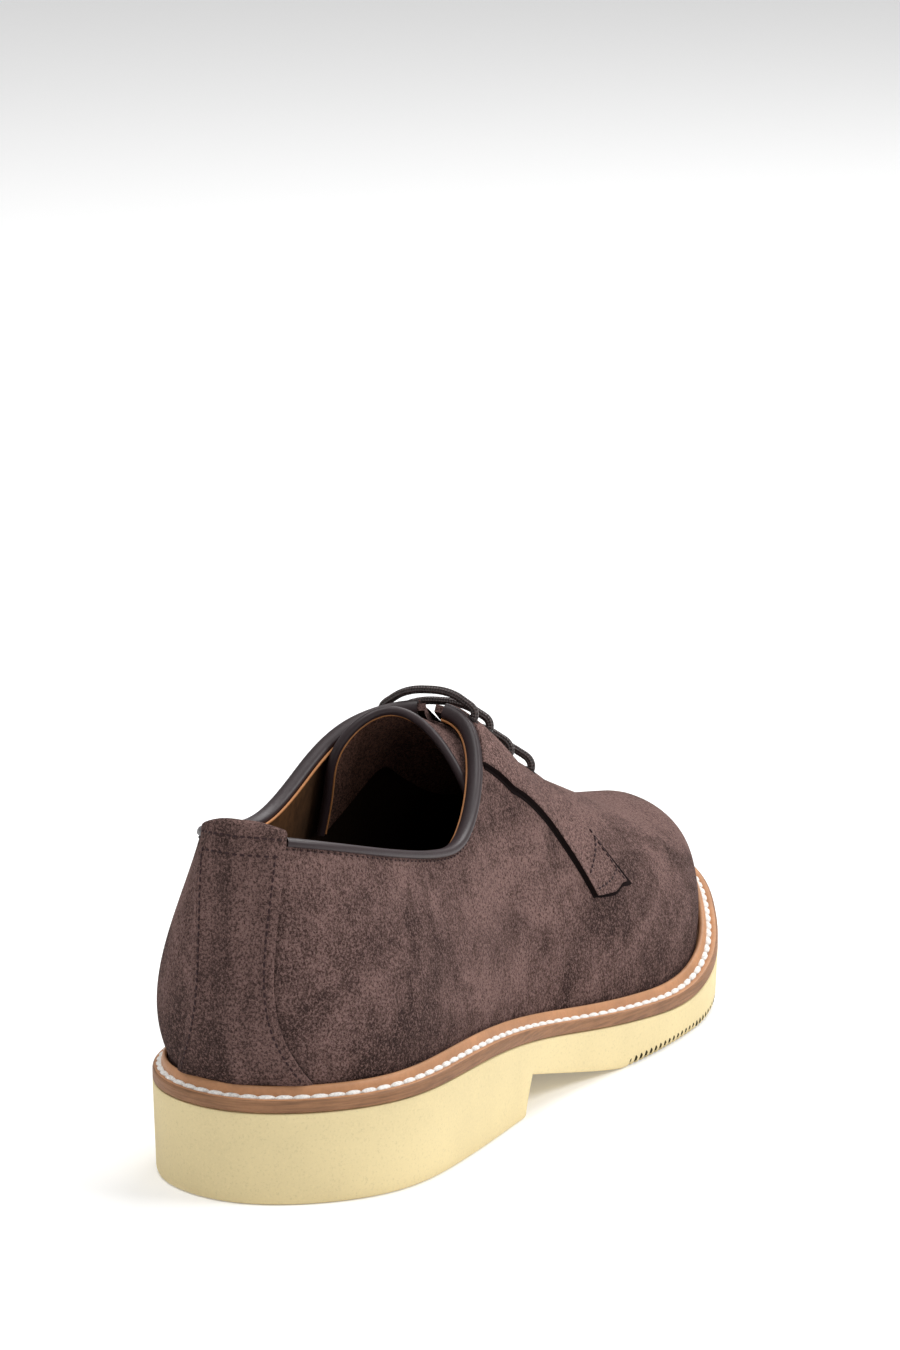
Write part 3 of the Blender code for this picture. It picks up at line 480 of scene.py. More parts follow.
def surface(side, turns, shares, offset=0.0):
    """Points of the upper's outer face, moved outwards along the normals there."""
    turns, v, offset = np.broadcast_arrays(np.asarray(turns, float), np.asarray(shares, float),
                                           np.asarray(offset, float))
    v = np.clip(v, 0, 1)
    nudge = 0.004
    up = (rib(side, turns, np.minimum(v + nudge, 1)) - rib(side, turns, np.maximum(v - nudge, 0)))
    ahead = rib(side, np.minimum(turns + nudge, 1), v) - rib(side, np.maximum(turns - nudge, 0), v)
    ahead[turns <= 0] = (side, 0, 0)
    ahead[turns >= 1] = (-side, 0, 0)
    normal = np.cross(ahead, up) * side
    crest = (v >= 1) & (turns > CORNER)
    normal[..., 0] = np.where(crest, 0, normal[..., 0])
    normal[crest & (normal[..., 2] < 0)] *= -1
    normal /= np.linalg.norm(normal, axis=-1, keepdims=True)
    return rib(side, turns, v) + normal * offset[..., None]


def topline_frame(side, turn):
    """Point of the top line, the direction along it and the one square to it, downwards."""
    nudge = 0.003
    turns = np.array([max(0.0, turn - nudge), turn, min(CORNER, turn + nudge)])
    points = rib(side, turns, top_shares(side, turns))
    along = (points[2] - points[0]) / np.linalg.norm(points[2] - points[0])
    outwards = surface(side, turn, top_share(side, turn), nudge) - points[1]
    down = np.cross(along, outwards) * side
    return points[1], along, down / np.linalg.norm(down)


def settle(side, here, wanted, axes):
    """Turn and share near a start whose point lies at wanted lengths along two axes."""
    nudge = 0.002
    here = np.array(here, dtype=float)
    for _ in range(6):
        t, v = here
        by_turn = (rib(side, t + nudge, v) - rib(side, t - nudge, v)) / (2 * nudge)
        by_share = (rib(side, t, v) - rib(side, t, v - nudge)) / nudge
        slopes = np.stack([axes @ by_turn, axes @ by_share], 1)
        here = here - np.linalg.solve(slopes, axes @ rib(side, t, v) - wanted)
    return float(here[0]), float(here[1])


def below_topline(side, turn, distance):
    """Turn and share of the point a distance below the top line, square to it."""
    edge, along, down = topline_frame(side, turn)
    axes = np.stack([along, down])
    return settle(side, (turn, top_share(side, turn)), axes @ edge + (0, distance), axes)


def on_surface(side, x, y):
    """Turn and share of the point of the instep that lies over a place in plan."""
    turns, shares = np.meshgrid(np.linspace(0.40, 0.62, 45), np.linspace(0.6, 1, 41))
    away = np.linalg.norm(rib(side, turns, shares)[..., :2] - (x, y), axis=-1)
    best = np.unravel_index(np.argmin(away), away.shape)
    return settle(side, (turns[best], shares[best]), np.array([x, y]), np.eye(3)[:2])


def turn_beside(side, distance, v):
    """Turn whose rib lies a distance from the middle of the heel at a share of the height."""
    turns = np.linspace(0, 0.22, 89)
    steps = np.linalg.norm(np.diff(rib(side, turns, v), axis=0), axis=1)
    return float(np.interp(distance, np.concatenate([[0], np.cumsum(steps)]), turns))


def relief(side, turns, shares):
    """Height of the soft creases of the suede over its smooth form."""
    height = np.zeros(np.broadcast(turns, shares).shape)
    for crease_side, turn, share, wide, tall, slant, size in CREASES:
        if crease_side == side:
            x = (turns - turn - slant * 0.2 * (shares - share)) / wide
            height += size / 1000 * np.exp(-x ** 2 - ((shares - share) / tall) ** 2)
    return height * np.clip(shares / 0.08, 0, 1)


class Value:
    """A number or colour in a material; arithmetic on it adds Math nodes."""

    def __init__(self, finish, socket):
        self.finish = finish
        self.socket = socket

    def maths(self, operation, a, b=0.0):
        return self.finish.add("ShaderNodeMath", {"operation": operation}, {0: a, 1: b})

    def __add__(self, other):
        return self.maths("ADD", self, other)

    def __sub__(self, other):
        return self.maths("SUBTRACT", self, other)

    def __rsub__(self, other):
        return self.maths("SUBTRACT", other, self)

    def __mul__(self, other):
        return self.maths("MULTIPLY", self, other)

    def wave(self):
        return self.maths("SINE", self)

    def clamp(self):
        return self.maths("MINIMUM", self.maths("MAXIMUM", self, 0.0), 1.0)

    __radd__ = __add__
    __rmul__ = __mul__


class Finish:
    """A material with one surface shader, built a node at a time."""

    def __init__(self, name, roughness, **constants):
        self.material = bpy.data.materials.new(name)
        self.material.use_nodes = True
        self.tree = self.material.node_tree
        self.shader = self.tree.nodes["Principled BSDF"]
        self.shader.inputs["Roughness"].default_value = roughness
        sockets = {s.name.lower().replace(" ", "_"): s for s in self.shader.inputs}
        for key, value in constants.items():
            sockets[key].default_value = value
        self.place = self.add("ShaderNodeTexCoord", out="Object")

    def add(self, kind, settings=(), inputs=(), out=0):
        node = self.tree.nodes.new(kind)
        for key, value in dict(settings).items():
            setattr(node, key, value)
        for key, value in dict(inputs).items():
            self.feed(node.inputs[key], value)
        return Value(self, node.outputs[out])

    def feed(self, socket, value):
        if isinstance(value, Value):
            self.tree.links.new(value.socket, socket)
        else:
            socket.default_value = value

    def noise(self, scale, detail=2.0, roughness=0.5, stretch=(1, 1, 1), distortion=0.0):
        place = self.place
        if stretch != (1, 1, 1):
            place = self.add("ShaderNodeMapping", {}, {"Vector": place, "Scale": stretch})
        return self.add("ShaderNodeTexNoise", {}, {
            "Vector": place, "Scale": scale, "Detail": detail, "Roughness": roughness,
            "Distortion": distortion})

    def split(self, vector):
        """The three parts of a vector."""
        node = self.add("ShaderNodeSeparateXYZ", {}, {"Vector": vector}).socket.node
        return [Value(self, node.outputs[axis]) for axis in "XYZ"]

    def between(self, value, low, high):
        """A value stretched so that low becomes 0 and high 1, kept between them."""
        return ((value - low) * (1 / (high - low))).clamp()

    def mix(self, share, first, second):
        node = self.tree.nodes.new("ShaderNodeMix")
        node.data_type = "RGBA"
        self.feed(node.inputs[0], share)
        self.feed(node.inputs[6], first)
        self.feed(node.inputs[7], second)
        return Value(self, node.outputs[2])

    def colour(self, value):
        self.feed(self.shader.inputs["Base Color"], value)

    def bump(self, height, distance, strength=1.0):
        normal = self.add("ShaderNodeBump", {}, {
            "Height": height, "Distance": distance, "Strength": strength}, out="Normal")
        self.feed(self.shader.inputs["Normal"], normal)
        return self.material


def rgba(colour, scale=1.0):
    return (*[min(1.0, c * scale) for c in colour[:3]], 1.0)


def suede(name, colour, banded=False, contrast=1.0):
    """Brushed suede: light and dark drifts of nap, slanting streaks and short fibres, a little
    darker low down as painted shade.
    """
    finish = Finish(name, 0.95, sheen_weight=0.06, sheen_roughness=0.5,
                    sheen_tint=(0.75, 0.5, 0.45, 1.0), specular_ior_level=0.05)
    drift = finish.noise(21, 3.0, 0.6, (1.0, 0.75, 1.2), 1.1)
    patch = finish.noise(85, 4.0, 0.65, (1, 1, 0.8), 0.8)
    streak = finish.noise(1.0, 3.0, 0.6, (60, 190, 55), 0.6)
    fibre = finish.noise(1450, 2.0, 0.8, (1.0, 1.0, 0.85), 0.3)
    fine = finish.noise(2600, 1.0, 0.6)
    # Painted shade: the suede's tone is made a little darker towards the bottom, by height.
    height = finish.between(finish.split(finish.place)[2], 0.025, 0.075)
    tone = finish.between(drift * 0.54 + patch * 0.28 + streak * 0.18 + height * 0.05,
                          0.45, 0.61)
    if banded:
        bands = finish.noise(1.0, 2.0, 0.5, (95, 40, 10), 0.3)
        tone = finish.between(tone * 0.4 + finish.between(bands, 0.38, 0.62) * 0.6, 0.1, 0.9)
    low, high = 1 - 0.60 * contrast, 1 + 0.75 * contrast
    base = finish.mix(tone, rgba(colour, low), rgba(colour, high))
    hair = finish.between(fibre * 0.7 + fine * 0.3, 0.40, 0.60)
    base = finish.mix(0.76 - finish.between(hair, 0.0, 0.5) * 0.76, base, rgba(colour, 0.25))
    base = finish.mix(finish.between(hair, 0.5, 1.0) * 0.5, base, rgba(colour, 3.0))
    finish.colour(base)
    return finish.bump(hair + patch * 0.8, 0.0003 if banded else 0.0005, 0.7)


def leather(name, colour, roughness, coat=0.0, grain=0.5, streaks=0.0):
    """Smooth leather with a fine grain, streaked where it is a cut edge."""
    finish = Finish(name, roughness, coat_weight=coat, coat_roughness=0.35,
                    specular_ior_level=0.35)
    drift = finish.between(finish.noise(60, 3.0, 0.6), 0.32, 0.68)
    fine = finish.noise(850, 3.0, 0.65)
    base = finish.mix(drift, rgba(colour, 0.84), rgba(colour, 1.12))
    if streaks:
        layers = finish.noise(1.0, 4.0, 0.7, (70, 70, 1500))
        base = finish.mix(finish.between(layers, 0.42, 0.68) * streaks, base, rgba(colour, 0.42))
        fine = fine * 0.5 + layers * 0.5
    finish.colour(finish.mix(finish.between(fine, 0.4, 0.75) * 0.35, base, rgba(colour, 0.66)))
    return finish.bump(fine, 0.00025, grain)


def lining_with_painted_shade(name, tan, dark):
    """Tan leather round the back of the collar and darker fabric towards the toe; lower down it
    darkens as painted shade of the deep inside.
    """
    finish = Finish(name, 0.85, specular_ior_level=0.1)
    _, forward, height = finish.split(finish.place)
    # Painted shade: below the collar's band the tan gives way to the dark colour by height, for
    # the shade deep inside; towards the toe the dark is the lining fabric.
    share = finish.between(height, 0.058, 0.088) * (1 - finish.between(forward, 0.030, 0.075))
    nap = finish.noise(420, 4.0, 0.7, (1, 1, 0.45))
    base = finish.mix(share, rgba(dark), rgba(tan))
    base = finish.mix(finish.between(nap, 0.35, 0.65) * 0.5, base, rgba(dark, 0.6))
    finish.colour(base)
    return finish.bump(nap, 0.0004, 0.6)


def foam(name, colour):
    """Matt foam rubber with a fine speckle."""
    finish = Finish(name, 0.72, specular_ior_level=0.3)
    cloud = finish.between(finish.noise(35, 2.0), 0.35, 0.65)
    speck = finish.noise(1300, 2.0, 0.7)
    base = finish.mix(cloud, rgba(colour, 0.96), rgba(colour, 1.03))
    base = finish.mix(finish.between(speck, 0.56, 0.72) * 0.5, base, rgba(colour, 0.78))
    base = finish.mix(finish.between(1 - speck, 0.56, 0.72) * 0.4, base, rgba(colour, 1.12))
    finish.colour(base)
    return finish.bump(speck + cloud * 0.3, 0.0003, 0.35)


def thread(name, colour, roughness=0.7):
    """Twisted thread."""
    finish = Finish(name, roughness, specular_ior_level=0.3)
    ply = finish.noise(1500, 2.0, 0.6)
    finish.colour(finish.mix(finish.between(ply, 0.4, 0.7), rgba(colour), rgba(colour, 0.7)))
    return finish.bump(ply, 0.0003, 0.5)


def waxed_lace(name, colour):
    """Round braided lace; the strands follow the lace's own map."""
    finish = Finish(name, 0.42, specular_ior_level=0.5)
    along, across, _ = finish.split(finish.add("ShaderNodeUVMap", {"uv_map": "UVMap"}))
    strands = (along * 9.0 + across * 25.13).wave() * (along * 9.0 - across * 25.13).wave()
    height = finish.between(strands, -0.6, 0.6)
    wax = finish.between(finish.noise(700, 2.0), 0.4, 0.7)
    base = finish.mix(height, rgba(colour, 0.25), rgba(colour, 1.5))
    finish.colour(finish.mix(wax * 0.4, base, rgba(colour, 2.2)))
    return finish.bump(height, 0.0006, 1.0)


def plain(name, colour, roughness, gloss=0.05):
    """Even colour without a grain, for painted shade on cut edges and in grooves, painted shadows
    and the facings' pale underside.
    """
    finish = Finish(name, roughness, specular_ior_level=gloss)
    finish.colour(rgba(colour))
    return finish.material


def mesh_object(name, points, faces, materials, face_slots=None, smooth_angle=40, uv=None):
    """Piece from points in the last's own frame; rides later at the place of its CAD node."""
    data = bpy.data.meshes.new(name)
    moved = np.asarray(points, dtype=float) - (0, HEEL_CENTRE, 0)
    data.from_pydata(moved.tolist(), [], faces)
    for material in materials:
        data.materials.append(material)
    if face_slots is not None:
        data.polygons.foreach_set("material_index", face_slots)
    if uv is not None:
        layer = data.uv_layers.new(name="UVMap")
        for loop in data.loops:
            layer.data[loop.index].uv = uv[loop.vertex_index]
    mesh = bmesh.new()
    mesh.from_mesh(data)
    bmesh.ops.remove_doubles(mesh, verts=mesh.verts, dist=2e-6)
    bmesh.ops.recalc_face_normals(mesh, faces=mesh.faces)
    mesh.to_mesh(data)
    mesh.free()
    data.shade_smooth()
    data.set_sharp_from_angle(angle=math.radians(smooth_angle))
    piece = bpy.data.objects.new(name, data)
    bpy.context.collection.objects.link(piece)
    return piece


def grid_faces(rows, across, start=0, close_rows=False, close_across=False):
    """Faces of a grid of points, row by row."""
    faces = []
    for r in range(rows - (not close_rows)):
        for c in range(across - (not close_across)):
            a, b = r * across + c, r * across + (c + 1) % across
            d, e = (r + 1) % rows * across + c, (r + 1) % rows * across + (c + 1) % across
            faces.append((start + a, start + b, start + e, start + d))
    return faces


def slab(name, top, bottom, materials, rim_slot=0, **options):
    """Closed piece between two grids of points; the last material is its underside's, and its
    long edges may have one of their own."""
    rows, across = top.shape[:2]
    count = rows * across
    points = np.concatenate([top.reshape(-1, 3), bottom.reshape(-1, 3)])
    faces = grid_faces(rows, across) + [f[::-1] for f in grid_faces(rows, across, count)]
    half = len(faces) // 2
    rim = ([(0, c) for c in range(across)] + [(r, across - 1) for r in range(1, rows)]
           + [(rows - 1, c) for c in range(across - 2, -1, -1)]
           + [(r, 0) for r in range(rows - 2, 0, -1)])
    rim = [r * across + c for r, c in rim]
    faces += [(a, b, b + count, a + count) for a, b in zip(rim, rim[1:] + rim[:1])]
    under = len(materials) - 1
    ends, sides = [0] * (across - 1), [rim_slot] * (rows - 1)
    slots = [0] * half + [under] * half + ends + sides + ends + sides
    return mesh_object(name, points, faces, materials, slots, **options)


def sweep(name, sections, materials, cap_slot=0, **options):
    """Closed piece through sections of equal count; its two ends may have their own material."""
    sections = np.asarray(sections, dtype=float)
    rows, across = sections.shape[:2]
    faces = grid_faces(rows, across, close_across=True)
    slots = [0] * len(faces)
    for start in (0, (rows - 1) * across):
        for i in range(across // 2 - 1):
            faces.append((start + i, start + i + 1, start + across - i - 2,
                          start + across - i - 1))
    slots += [cap_slot] * (len(faces) - len(slots))
    return mesh_object(name, sections.reshape(-1, 3), faces, materials, slots, **options)


def tube(name, path, radius, material, sides):
    """Round cord along a path, with a map of its length and girth, closed at its ends."""
    path = np.asarray(path, dtype=float)
    ahead = np.gradient(path, axis=0)
    ahead /= np.linalg.norm(ahead, axis=1, keepdims=True)
    across = np.array([0.0, 0.0, 1.0])
    sections, uv = [], []
    lengths = np.concatenate([[0], np.cumsum(np.linalg.norm(np.diff(path, axis=0), axis=1))])
    angles = np.arange(sides) * 2 * math.pi / sides
    for point, direction, length in zip(path, ahead, lengths):
        across = across - direction * (across @ direction)
        across /= np.linalg.norm(across)
        other = np.cross(direction, across)
        sections.append([point + radius * (math.cos(a) * across + math.sin(a) * other)
                         for a in angles])
        uv += [(length / (2 * radius), a / (2 * math.pi)) for a in angles]
    return sweep(name, sections, [material], uv=uv, smooth_angle=80)


def around(turns, inset, on_welt=True):
    """Plan points round the sole at an inset from its edge, outer side first."""
    parts = []
    for side, walk in ((OUTER, turns), (INNER, turns[-2:0:-1])):
        point, outwards = edge_frame(side, walk)
        share = welt_share(side, walk) if on_welt else np.ones_like(walk)
        parts.append(point - outwards * (inset * share)[:, None])
    return np.concatenate(parts)


def thread_tree(name):
    """Geometry nodes that lay stitches along a line, turned to its own upward direction."""
    tree = bpy.data.node_groups.new(name, "GeometryNodeTree")
    face = tree.interface
    face.new_socket("Geometry", in_out="INPUT", socket_type="NodeSocketGeometry")
    for label in ("Pitch", "Length", "Width", "Height", "Slant"):
        face.new_socket(label, in_out="INPUT", socket_type="NodeSocketFloat")
    face.new_socket("Seed", in_out="INPUT", socket_type="NodeSocketInt")
    face.new_socket("Material", in_out="INPUT", socket_type="NodeSocketMaterial")
    face.new_socket("Geometry", in_out="OUTPUT", socket_type="NodeSocketGeometry")

    def add(kind, settings=(), inputs=()):
        node = tree.nodes.new(kind)
        for key, value in dict(settings).items():
            setattr(node, key, value)
        for key, value in dict(inputs).items():
            if isinstance(value, bpy.types.NodeSocket):
                tree.links.new(value, node.inputs[key])
            else:
                node.inputs[key].default_value = value
        return node

    given = add("NodeGroupInput").outputs
    line = add("GeometryNodeMeshToCurve", {}, {"Mesh": given["Geometry"]}).outputs[0]
    spots = add("GeometryNodeCurveToPoints", {"mode": "LENGTH"},
                {"Curve": line, "Length": given["Pitch"]}).outputs
    up = add("GeometryNodeInputNamedAttribute", {"data_type": "FLOAT_VECTOR"},
             {"Name": "up"}).outputs["Attribute"]
    along = add("FunctionNodeAlignRotationToVector", {"axis": "X"},
                {"Vector": spots["Tangent"]}).outputs[0]
    facing = add("FunctionNodeAlignRotationToVector", {"axis": "Z", "pivot_axis": "X"},
                 {"Rotation": along, "Vector": up}).outputs[0]
    stray = add("FunctionNodeRandomValue", {"data_type": "FLOAT"},
                {"Min": -0.06, "Max": 0.06, "Seed": given["Seed"]}).outputs[1]
    lean = add("ShaderNodeMath", {"operation": "ADD"}, {0: stray, 1: given["Slant"]}).outputs[0]
    yaw = add("ShaderNodeCombineXYZ", {}, {"Z": lean}).outputs[0]
    turned = add("FunctionNodeRotateRotation", {"rotation_space": "LOCAL"},
                 {"Rotation": facing, "Rotate By": yaw}).outputs[0]
    size = add("ShaderNodeCombineXYZ", {}, {"X": given["Length"], "Y": given["Width"],
                                            "Z": given["Height"]}).outputs[0]
    bead = add("GeometryNodeMeshUVSphere", {}, {"Segments": 8, "Rings": 6,
                                                "Radius": 0.5}).outputs["Mesh"]
    laid = add("GeometryNodeInstanceOnPoints", {}, {
        "Points": spots["Points"], "Instance": bead, "Rotation": turned, "Scale": size}).outputs[0]
    solid = add("GeometryNodeRealizeInstances", {}, {"Geometry": laid}).outputs[0]
    done = add("GeometryNodeSetMaterial", {}, {"Geometry": solid,
                                               "Material": given["Material"]}).outputs[0]
    add("NodeGroupOutput", {}, {"Geometry": done})
    return tree


def stitches(name, lines, material, pitch, length, width, height, slant=0.0, seed=1):
    """Stitches along lines, each given as points and the directions that stand off the leather."""
    points, ups, edges = [], [], []
    for line, up in lines:
        start = len(points)
        points += (np.asarray(line) - (0, HEEL_CENTRE, 0)).tolist()
        ups += np.asarray(up).tolist()
        edges += [(start + i, start + i + 1) for i in range(len(line) - 1)]
    data = bpy.data.meshes.new(name)
    data.from_pydata(points, edges, [])
    data.attributes.new("up", "FLOAT_VECTOR", "POINT").data.foreach_set(
        "vector", np.ravel(ups).astype(np.float32))
    source = bpy.data.objects.new(name, data)
    bpy.context.collection.objects.link(source)
    tree = bpy.data.node_groups.get("stitching") or thread_tree("stitching")
    modifier = source.modifiers.new("stitching", "NODES")
    modifier.node_group = tree
    sockets = {item.name: item.identifier for item in tree.interface.items_tree
               if item.in_out == "INPUT"}
    for key, value in (("Pitch", pitch), ("Length", length), ("Width", width),
                       ("Height", height), ("Slant", slant), ("Seed", seed),
                       ("Material", material)):
        modifier[sockets[key]] = value
    graph = bpy.context.evaluated_depsgraph_get()
    result = bpy.data.meshes.new_from_object(source.evaluated_get(graph))
    source.modifiers.remove(modifier)
    source.data = result
    result.name = name
    result.shade_smooth()
    bpy.data.meshes.remove(data)
    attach(source, "root")
    return source


def surface_line(side, turns, shares, offset):
    """A line on the upper with the directions that stand off it."""
    low = surface(side, turns, shares, offset)
    return low, surface(side, turns, shares, offset + STAND_OFF) - low


def settings():
    return bpy.context.scene.suede_derby


class MAKE_OT_outsole(bpy.types.Operator):
    """Foam sole with heel block, arch, toe spring and moulded ridges, with painted shade in their
    grooves
    """

    bl_idname = "shoe.outsole"
    bl_label = "Outsole"

    def execute(self, context):
        marks = [HEEL_BREAST + BREAST_RAKE * s for s in (0, 0.1, 0.3, 0.6, 0.85, 1)]
        ridged = np.arange(TREAD_START, RIDGES_END, RIDGE_PITCH / 8)
        ys = np.concatenate([marks, ridged, np.linspace(0.1155, TREAD_START - 0.001, 24)])
        ends = np.concatenate([np.linspace(0, 0.415, 90), np.linspace(0.885, 1, 40)])
        marked = turn_of(ys / OUTSOLE_LENGTH)
        turns = np.unique(np.round(np.concatenate([
            marked, [t for t in ends if np.min(np.abs(marked - t)) > 0.001]]), 6))
        rings = []
        for inset, rise in ((0.0120, 0.0), (0.0040, 0.0), (SOLE_ROUND + EDGE_TAPER, 0.0),
                            (SOLE_ROUND * 0.3 + EDGE_TAPER, SOLE_ROUND * 0.3),
                            (EDGE_TAPER, SOLE_ROUND)):
            plan = around(turns, inset, on_welt=False)
            cut = tread_ridge(plan[:, 1])
            rings.append(np.column_stack([plan, foam_bottom(plan[:, 1]) + rise + cut]))
        for share in (0.1, 0.3, 0.6, 0.9):
            plan = around(turns, EDGE_TAPER * (1 - share), on_welt=False)
            low = foam_bottom(plan[:, 1]) + SOLE_ROUND + tread_ridge(plan[:, 1]) * 0.5
            high = foam_top(plan[:, 1]) - SOLE_TOP_ROUND
            rings.append(np.column_stack([plan, low + (high - low) * share]))
        for inset, drop in ((0.0, SOLE_TOP_ROUND), (0.00025, 0.0002), (0.0008, 0.0),
                            (0.004, 0.0)):
            plan = around(turns, inset, on_welt=False)
            rings.append(np.column_stack([plan, foam_top(plan[:, 1]) - drop]))
        points = np.concatenate(rings)
        count = len(rings[0])
        faces = grid_faces(len(rings), count, close_across=True)
        # Painted shade: faces deep in the grooves of the ridges take the foam colour at 7 percent,
        # standing in for the shade inside them.
        cut = tread_ridge(rings[2][:, 1])
        groove_shade_mask = (cut + np.roll(cut, -1)) / 2 > RIDGE_DEPTH * 0.4
        slots = [int(g) for g in np.tile(groove_shade_mask, 4)] + [0] * (len(faces) - 4 * count)
        for layer in (0, (len(rings) - 1) * count):
            for i in range(count // 2):
                face = [layer + i, layer + i + 1, layer + (-i - 1) % count, layer + -i % count]
                faces.append(tuple(dict.fromkeys(face)))
                slots.append(int(groove_shade_mask[i]) if layer == 0 else 0)
        cream = settings().foam_colour
        piece = mesh_object("foam_sole", points, faces,
                            [foam("cream_foam", cream),
                             plain("tread_groove", rgba(cream, 0.07), 0.95)],
                            slots, smooth_angle=38)
        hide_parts("outsole")
        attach(piece, "root")
        return {"FINISHED"}


class MAKE_OT_welt(bpy.types.Operator):
    """Tan leather welt with a raised bead, a groove and its chunky white stitch"""

    bl_idname = "shoe.welt"
    bl_label = "Welt"

    def execute(self, context):
        turns = np.linspace(0, 1, 260)
        t = WELT_THICKNESS
        outside = FEATHER_INSET - FACET_CLEARANCE * 0.6 - BEAD_WIDTH
        crown = BEAD_WIDTH
        profile = [(0.0004, 0.0), (0.0, 0.0003), (0.0, t - 0.0008), (0.00015, t - 0.0003),
                   (0.0006, t), (0.0014, t + 0.0001), (STITCH_INSET - GROOVE_WIDTH * 0.62, t),
                   (STITCH_INSET - GROOVE_WIDTH * 0.36, t - GROOVE_DEPTH * 0.7),
                   (STITCH_INSET, t - GROOVE_DEPTH), (outside - crown * 0.02, t - 0.0003),
                   (outside + crown * 0.03, t + BEAD_HEIGHT * 0.34),
                   (outside + crown * 0.16, t + BEAD_HEIGHT * 0.72),
                   (outside + crown * 0.34, t + BEAD_HEIGHT * 0.94),
                   (outside + crown * 0.55, t + BEAD_HEIGHT),
                   (outside + crown * 0.78, t + BEAD_HEIGHT * 0.93),
                   (outside + crown * 0.94, t + BEAD_HEIGHT * 0.72),
                   (outside + crown, t + BEAD_HEIGHT * 0.4), (outside + crown, t),
                   (WELT_WIDTH, t), (WELT_WIDTH, 0.0)]
        rings = []
        for inset, height in profile:
            plan = around(turns, inset)
            rings.append(np.column_stack([plan, foam_top(plan[:, 1]) + CLEARANCE * 0.4 + height]))
        count = len(rings[0])
        faces = grid_faces(len(rings), count, close_rows=True, close_across=True)
        cut_edge = {0, 1, 2, 3, len(profile) - 1}
        slots = [int(i // count in cut_edge) for i in range(len(faces))]
        tan = settings().welt_colour
        piece = mesh_object("leather_welt", np.concatenate(rings), faces, [
            leather("tan_leather", tan, 0.5, grain=0.6),
            leather("tan_cut_edge", rgba(tan, 0.62)[:3], 0.6, grain=0.9, streaks=0.75)], slots)
        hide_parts("welt")
        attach(piece, "root")
        plan = around(turns, STITCH_INSET)
        height = foam_top(plan[:, 1]) + CLEARANCE * 0.4 + t - GROOVE_DEPTH * 0.15
        line = np.column_stack([plan, height])
        line = np.concatenate([line, line[:1]])
        pitch = settings().welt_stitch_pitch
        white = thread("white_thread", settings().welt_thread_colour, 0.75)
        row = stitches("welt_stitches", [(line, np.tile((0, 0, 1.0), (len(line), 1)))], white,
                       pitch, pitch * WELT_STITCH_REACH, WELT_STITCH_WIDTH, WELT_STITCH_HEIGHT,
                       slant=0.15, seed=3)
        return {"FINISHED"}


def shell_turns(collar, throat, vamp):
    """Turns of the shell's ribs, closer together round the corner and the throat's end."""
    near = 0.36 + (CORNER - 0.36) * (1 - (1 - np.linspace(0, 1, collar // 2)) ** 1.5)
    down = 1 - (1 - np.linspace(0, 1, throat)) ** 1.5
    return np.concatenate([np.linspace(0, 0.36, collar)[:-1], near[:-1],
                           (CORNER + (THROAT - CORNER) * down)[:-1], np.linspace(THROAT, 1, vamp)])


def shell(name, turns, rows, outside, inside, materials):
    """Closed wall of the upper between two offsets, with the creases on both faces."""
    points, faces, slots = [], [], []
    for side in (OUTER, INNER):
        tops = top_shares(side, turns)[:, None]
        v = tops * rows[None, :]
        t = np.broadcast_to(turns[:, None], v.shape)
        dents = relief(side, t, v)
        outer = surface(side, t, v, dents + outside)
        inner = surface(side, t, v, dents + inside)
        drop = np.array([0, 0, BEAD_HEIGHT - CLEARANCE])
        outer = np.concatenate([outer[:, :1] - drop, outer], 1)
        inner = np.concatenate([np.concatenate([inner[:, :1, :2], outer[:, :1, 2:]], 2), inner], 1)
        for grid, slot, flip in ((outer, 0, side == INNER), (inner, 1, side == OUTER)):
            new = grid_faces(*grid.shape[:2], start=sum(len(p) for p in points))
            faces += [f[::-1] for f in new] if flip else new
            slots += [slot] * len(new)
            points.append(grid.reshape(-1, 3))
        count = outer.shape[0] * outer.shape[1]
        start = sum(len(p) for p in points) - 2 * count
        across = outer.shape[1]
        for r in range(len(turns) - 1):
            for c in (0, across - 1):
                if c == across - 1 and turns[r] >= THROAT - 1e-9:
                    continue
                a, b = start + r * across + c, start + (r + 1) * across + c
                faces.append((a, b, b + count, a + count))
                slots.append(0)
    return mesh_object(name, np.concatenate(points), faces, materials, slots, smooth_angle=50)


class MAKE_OT_upper(bpy.types.Operator):
    """Hollow suede upper with its lining"""

    bl_idname = "shoe.upper"
    bl_label = "Upper"

    def execute(self, context):
        rows = np.concatenate([np.linspace(0, 0.12, 8)[:-1], np.linspace(0.12, 1, 50)])
        brown = suede("brown_suede", settings().suede_colour)
        # The dark colour is both the lining fabric towards the toe and the painted shade deep
        # inside.
        lining = lining_with_painted_shade("lining_leather", settings().lining_colour, (0.030, 0.017, 0.011))
        piece = shell("suede_upper", shell_turns(86, 40, 96), rows, 0.0, -WALL, [brown, lining])
        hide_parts("upper")
        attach(piece, "root")
        material = leather("insole_leather", (0.060, 0.032, 0.018), 0.8)
        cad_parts["insole"].data.materials.clear()
        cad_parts["insole"].data.materials.append(material)
        return {"FINISHED"}


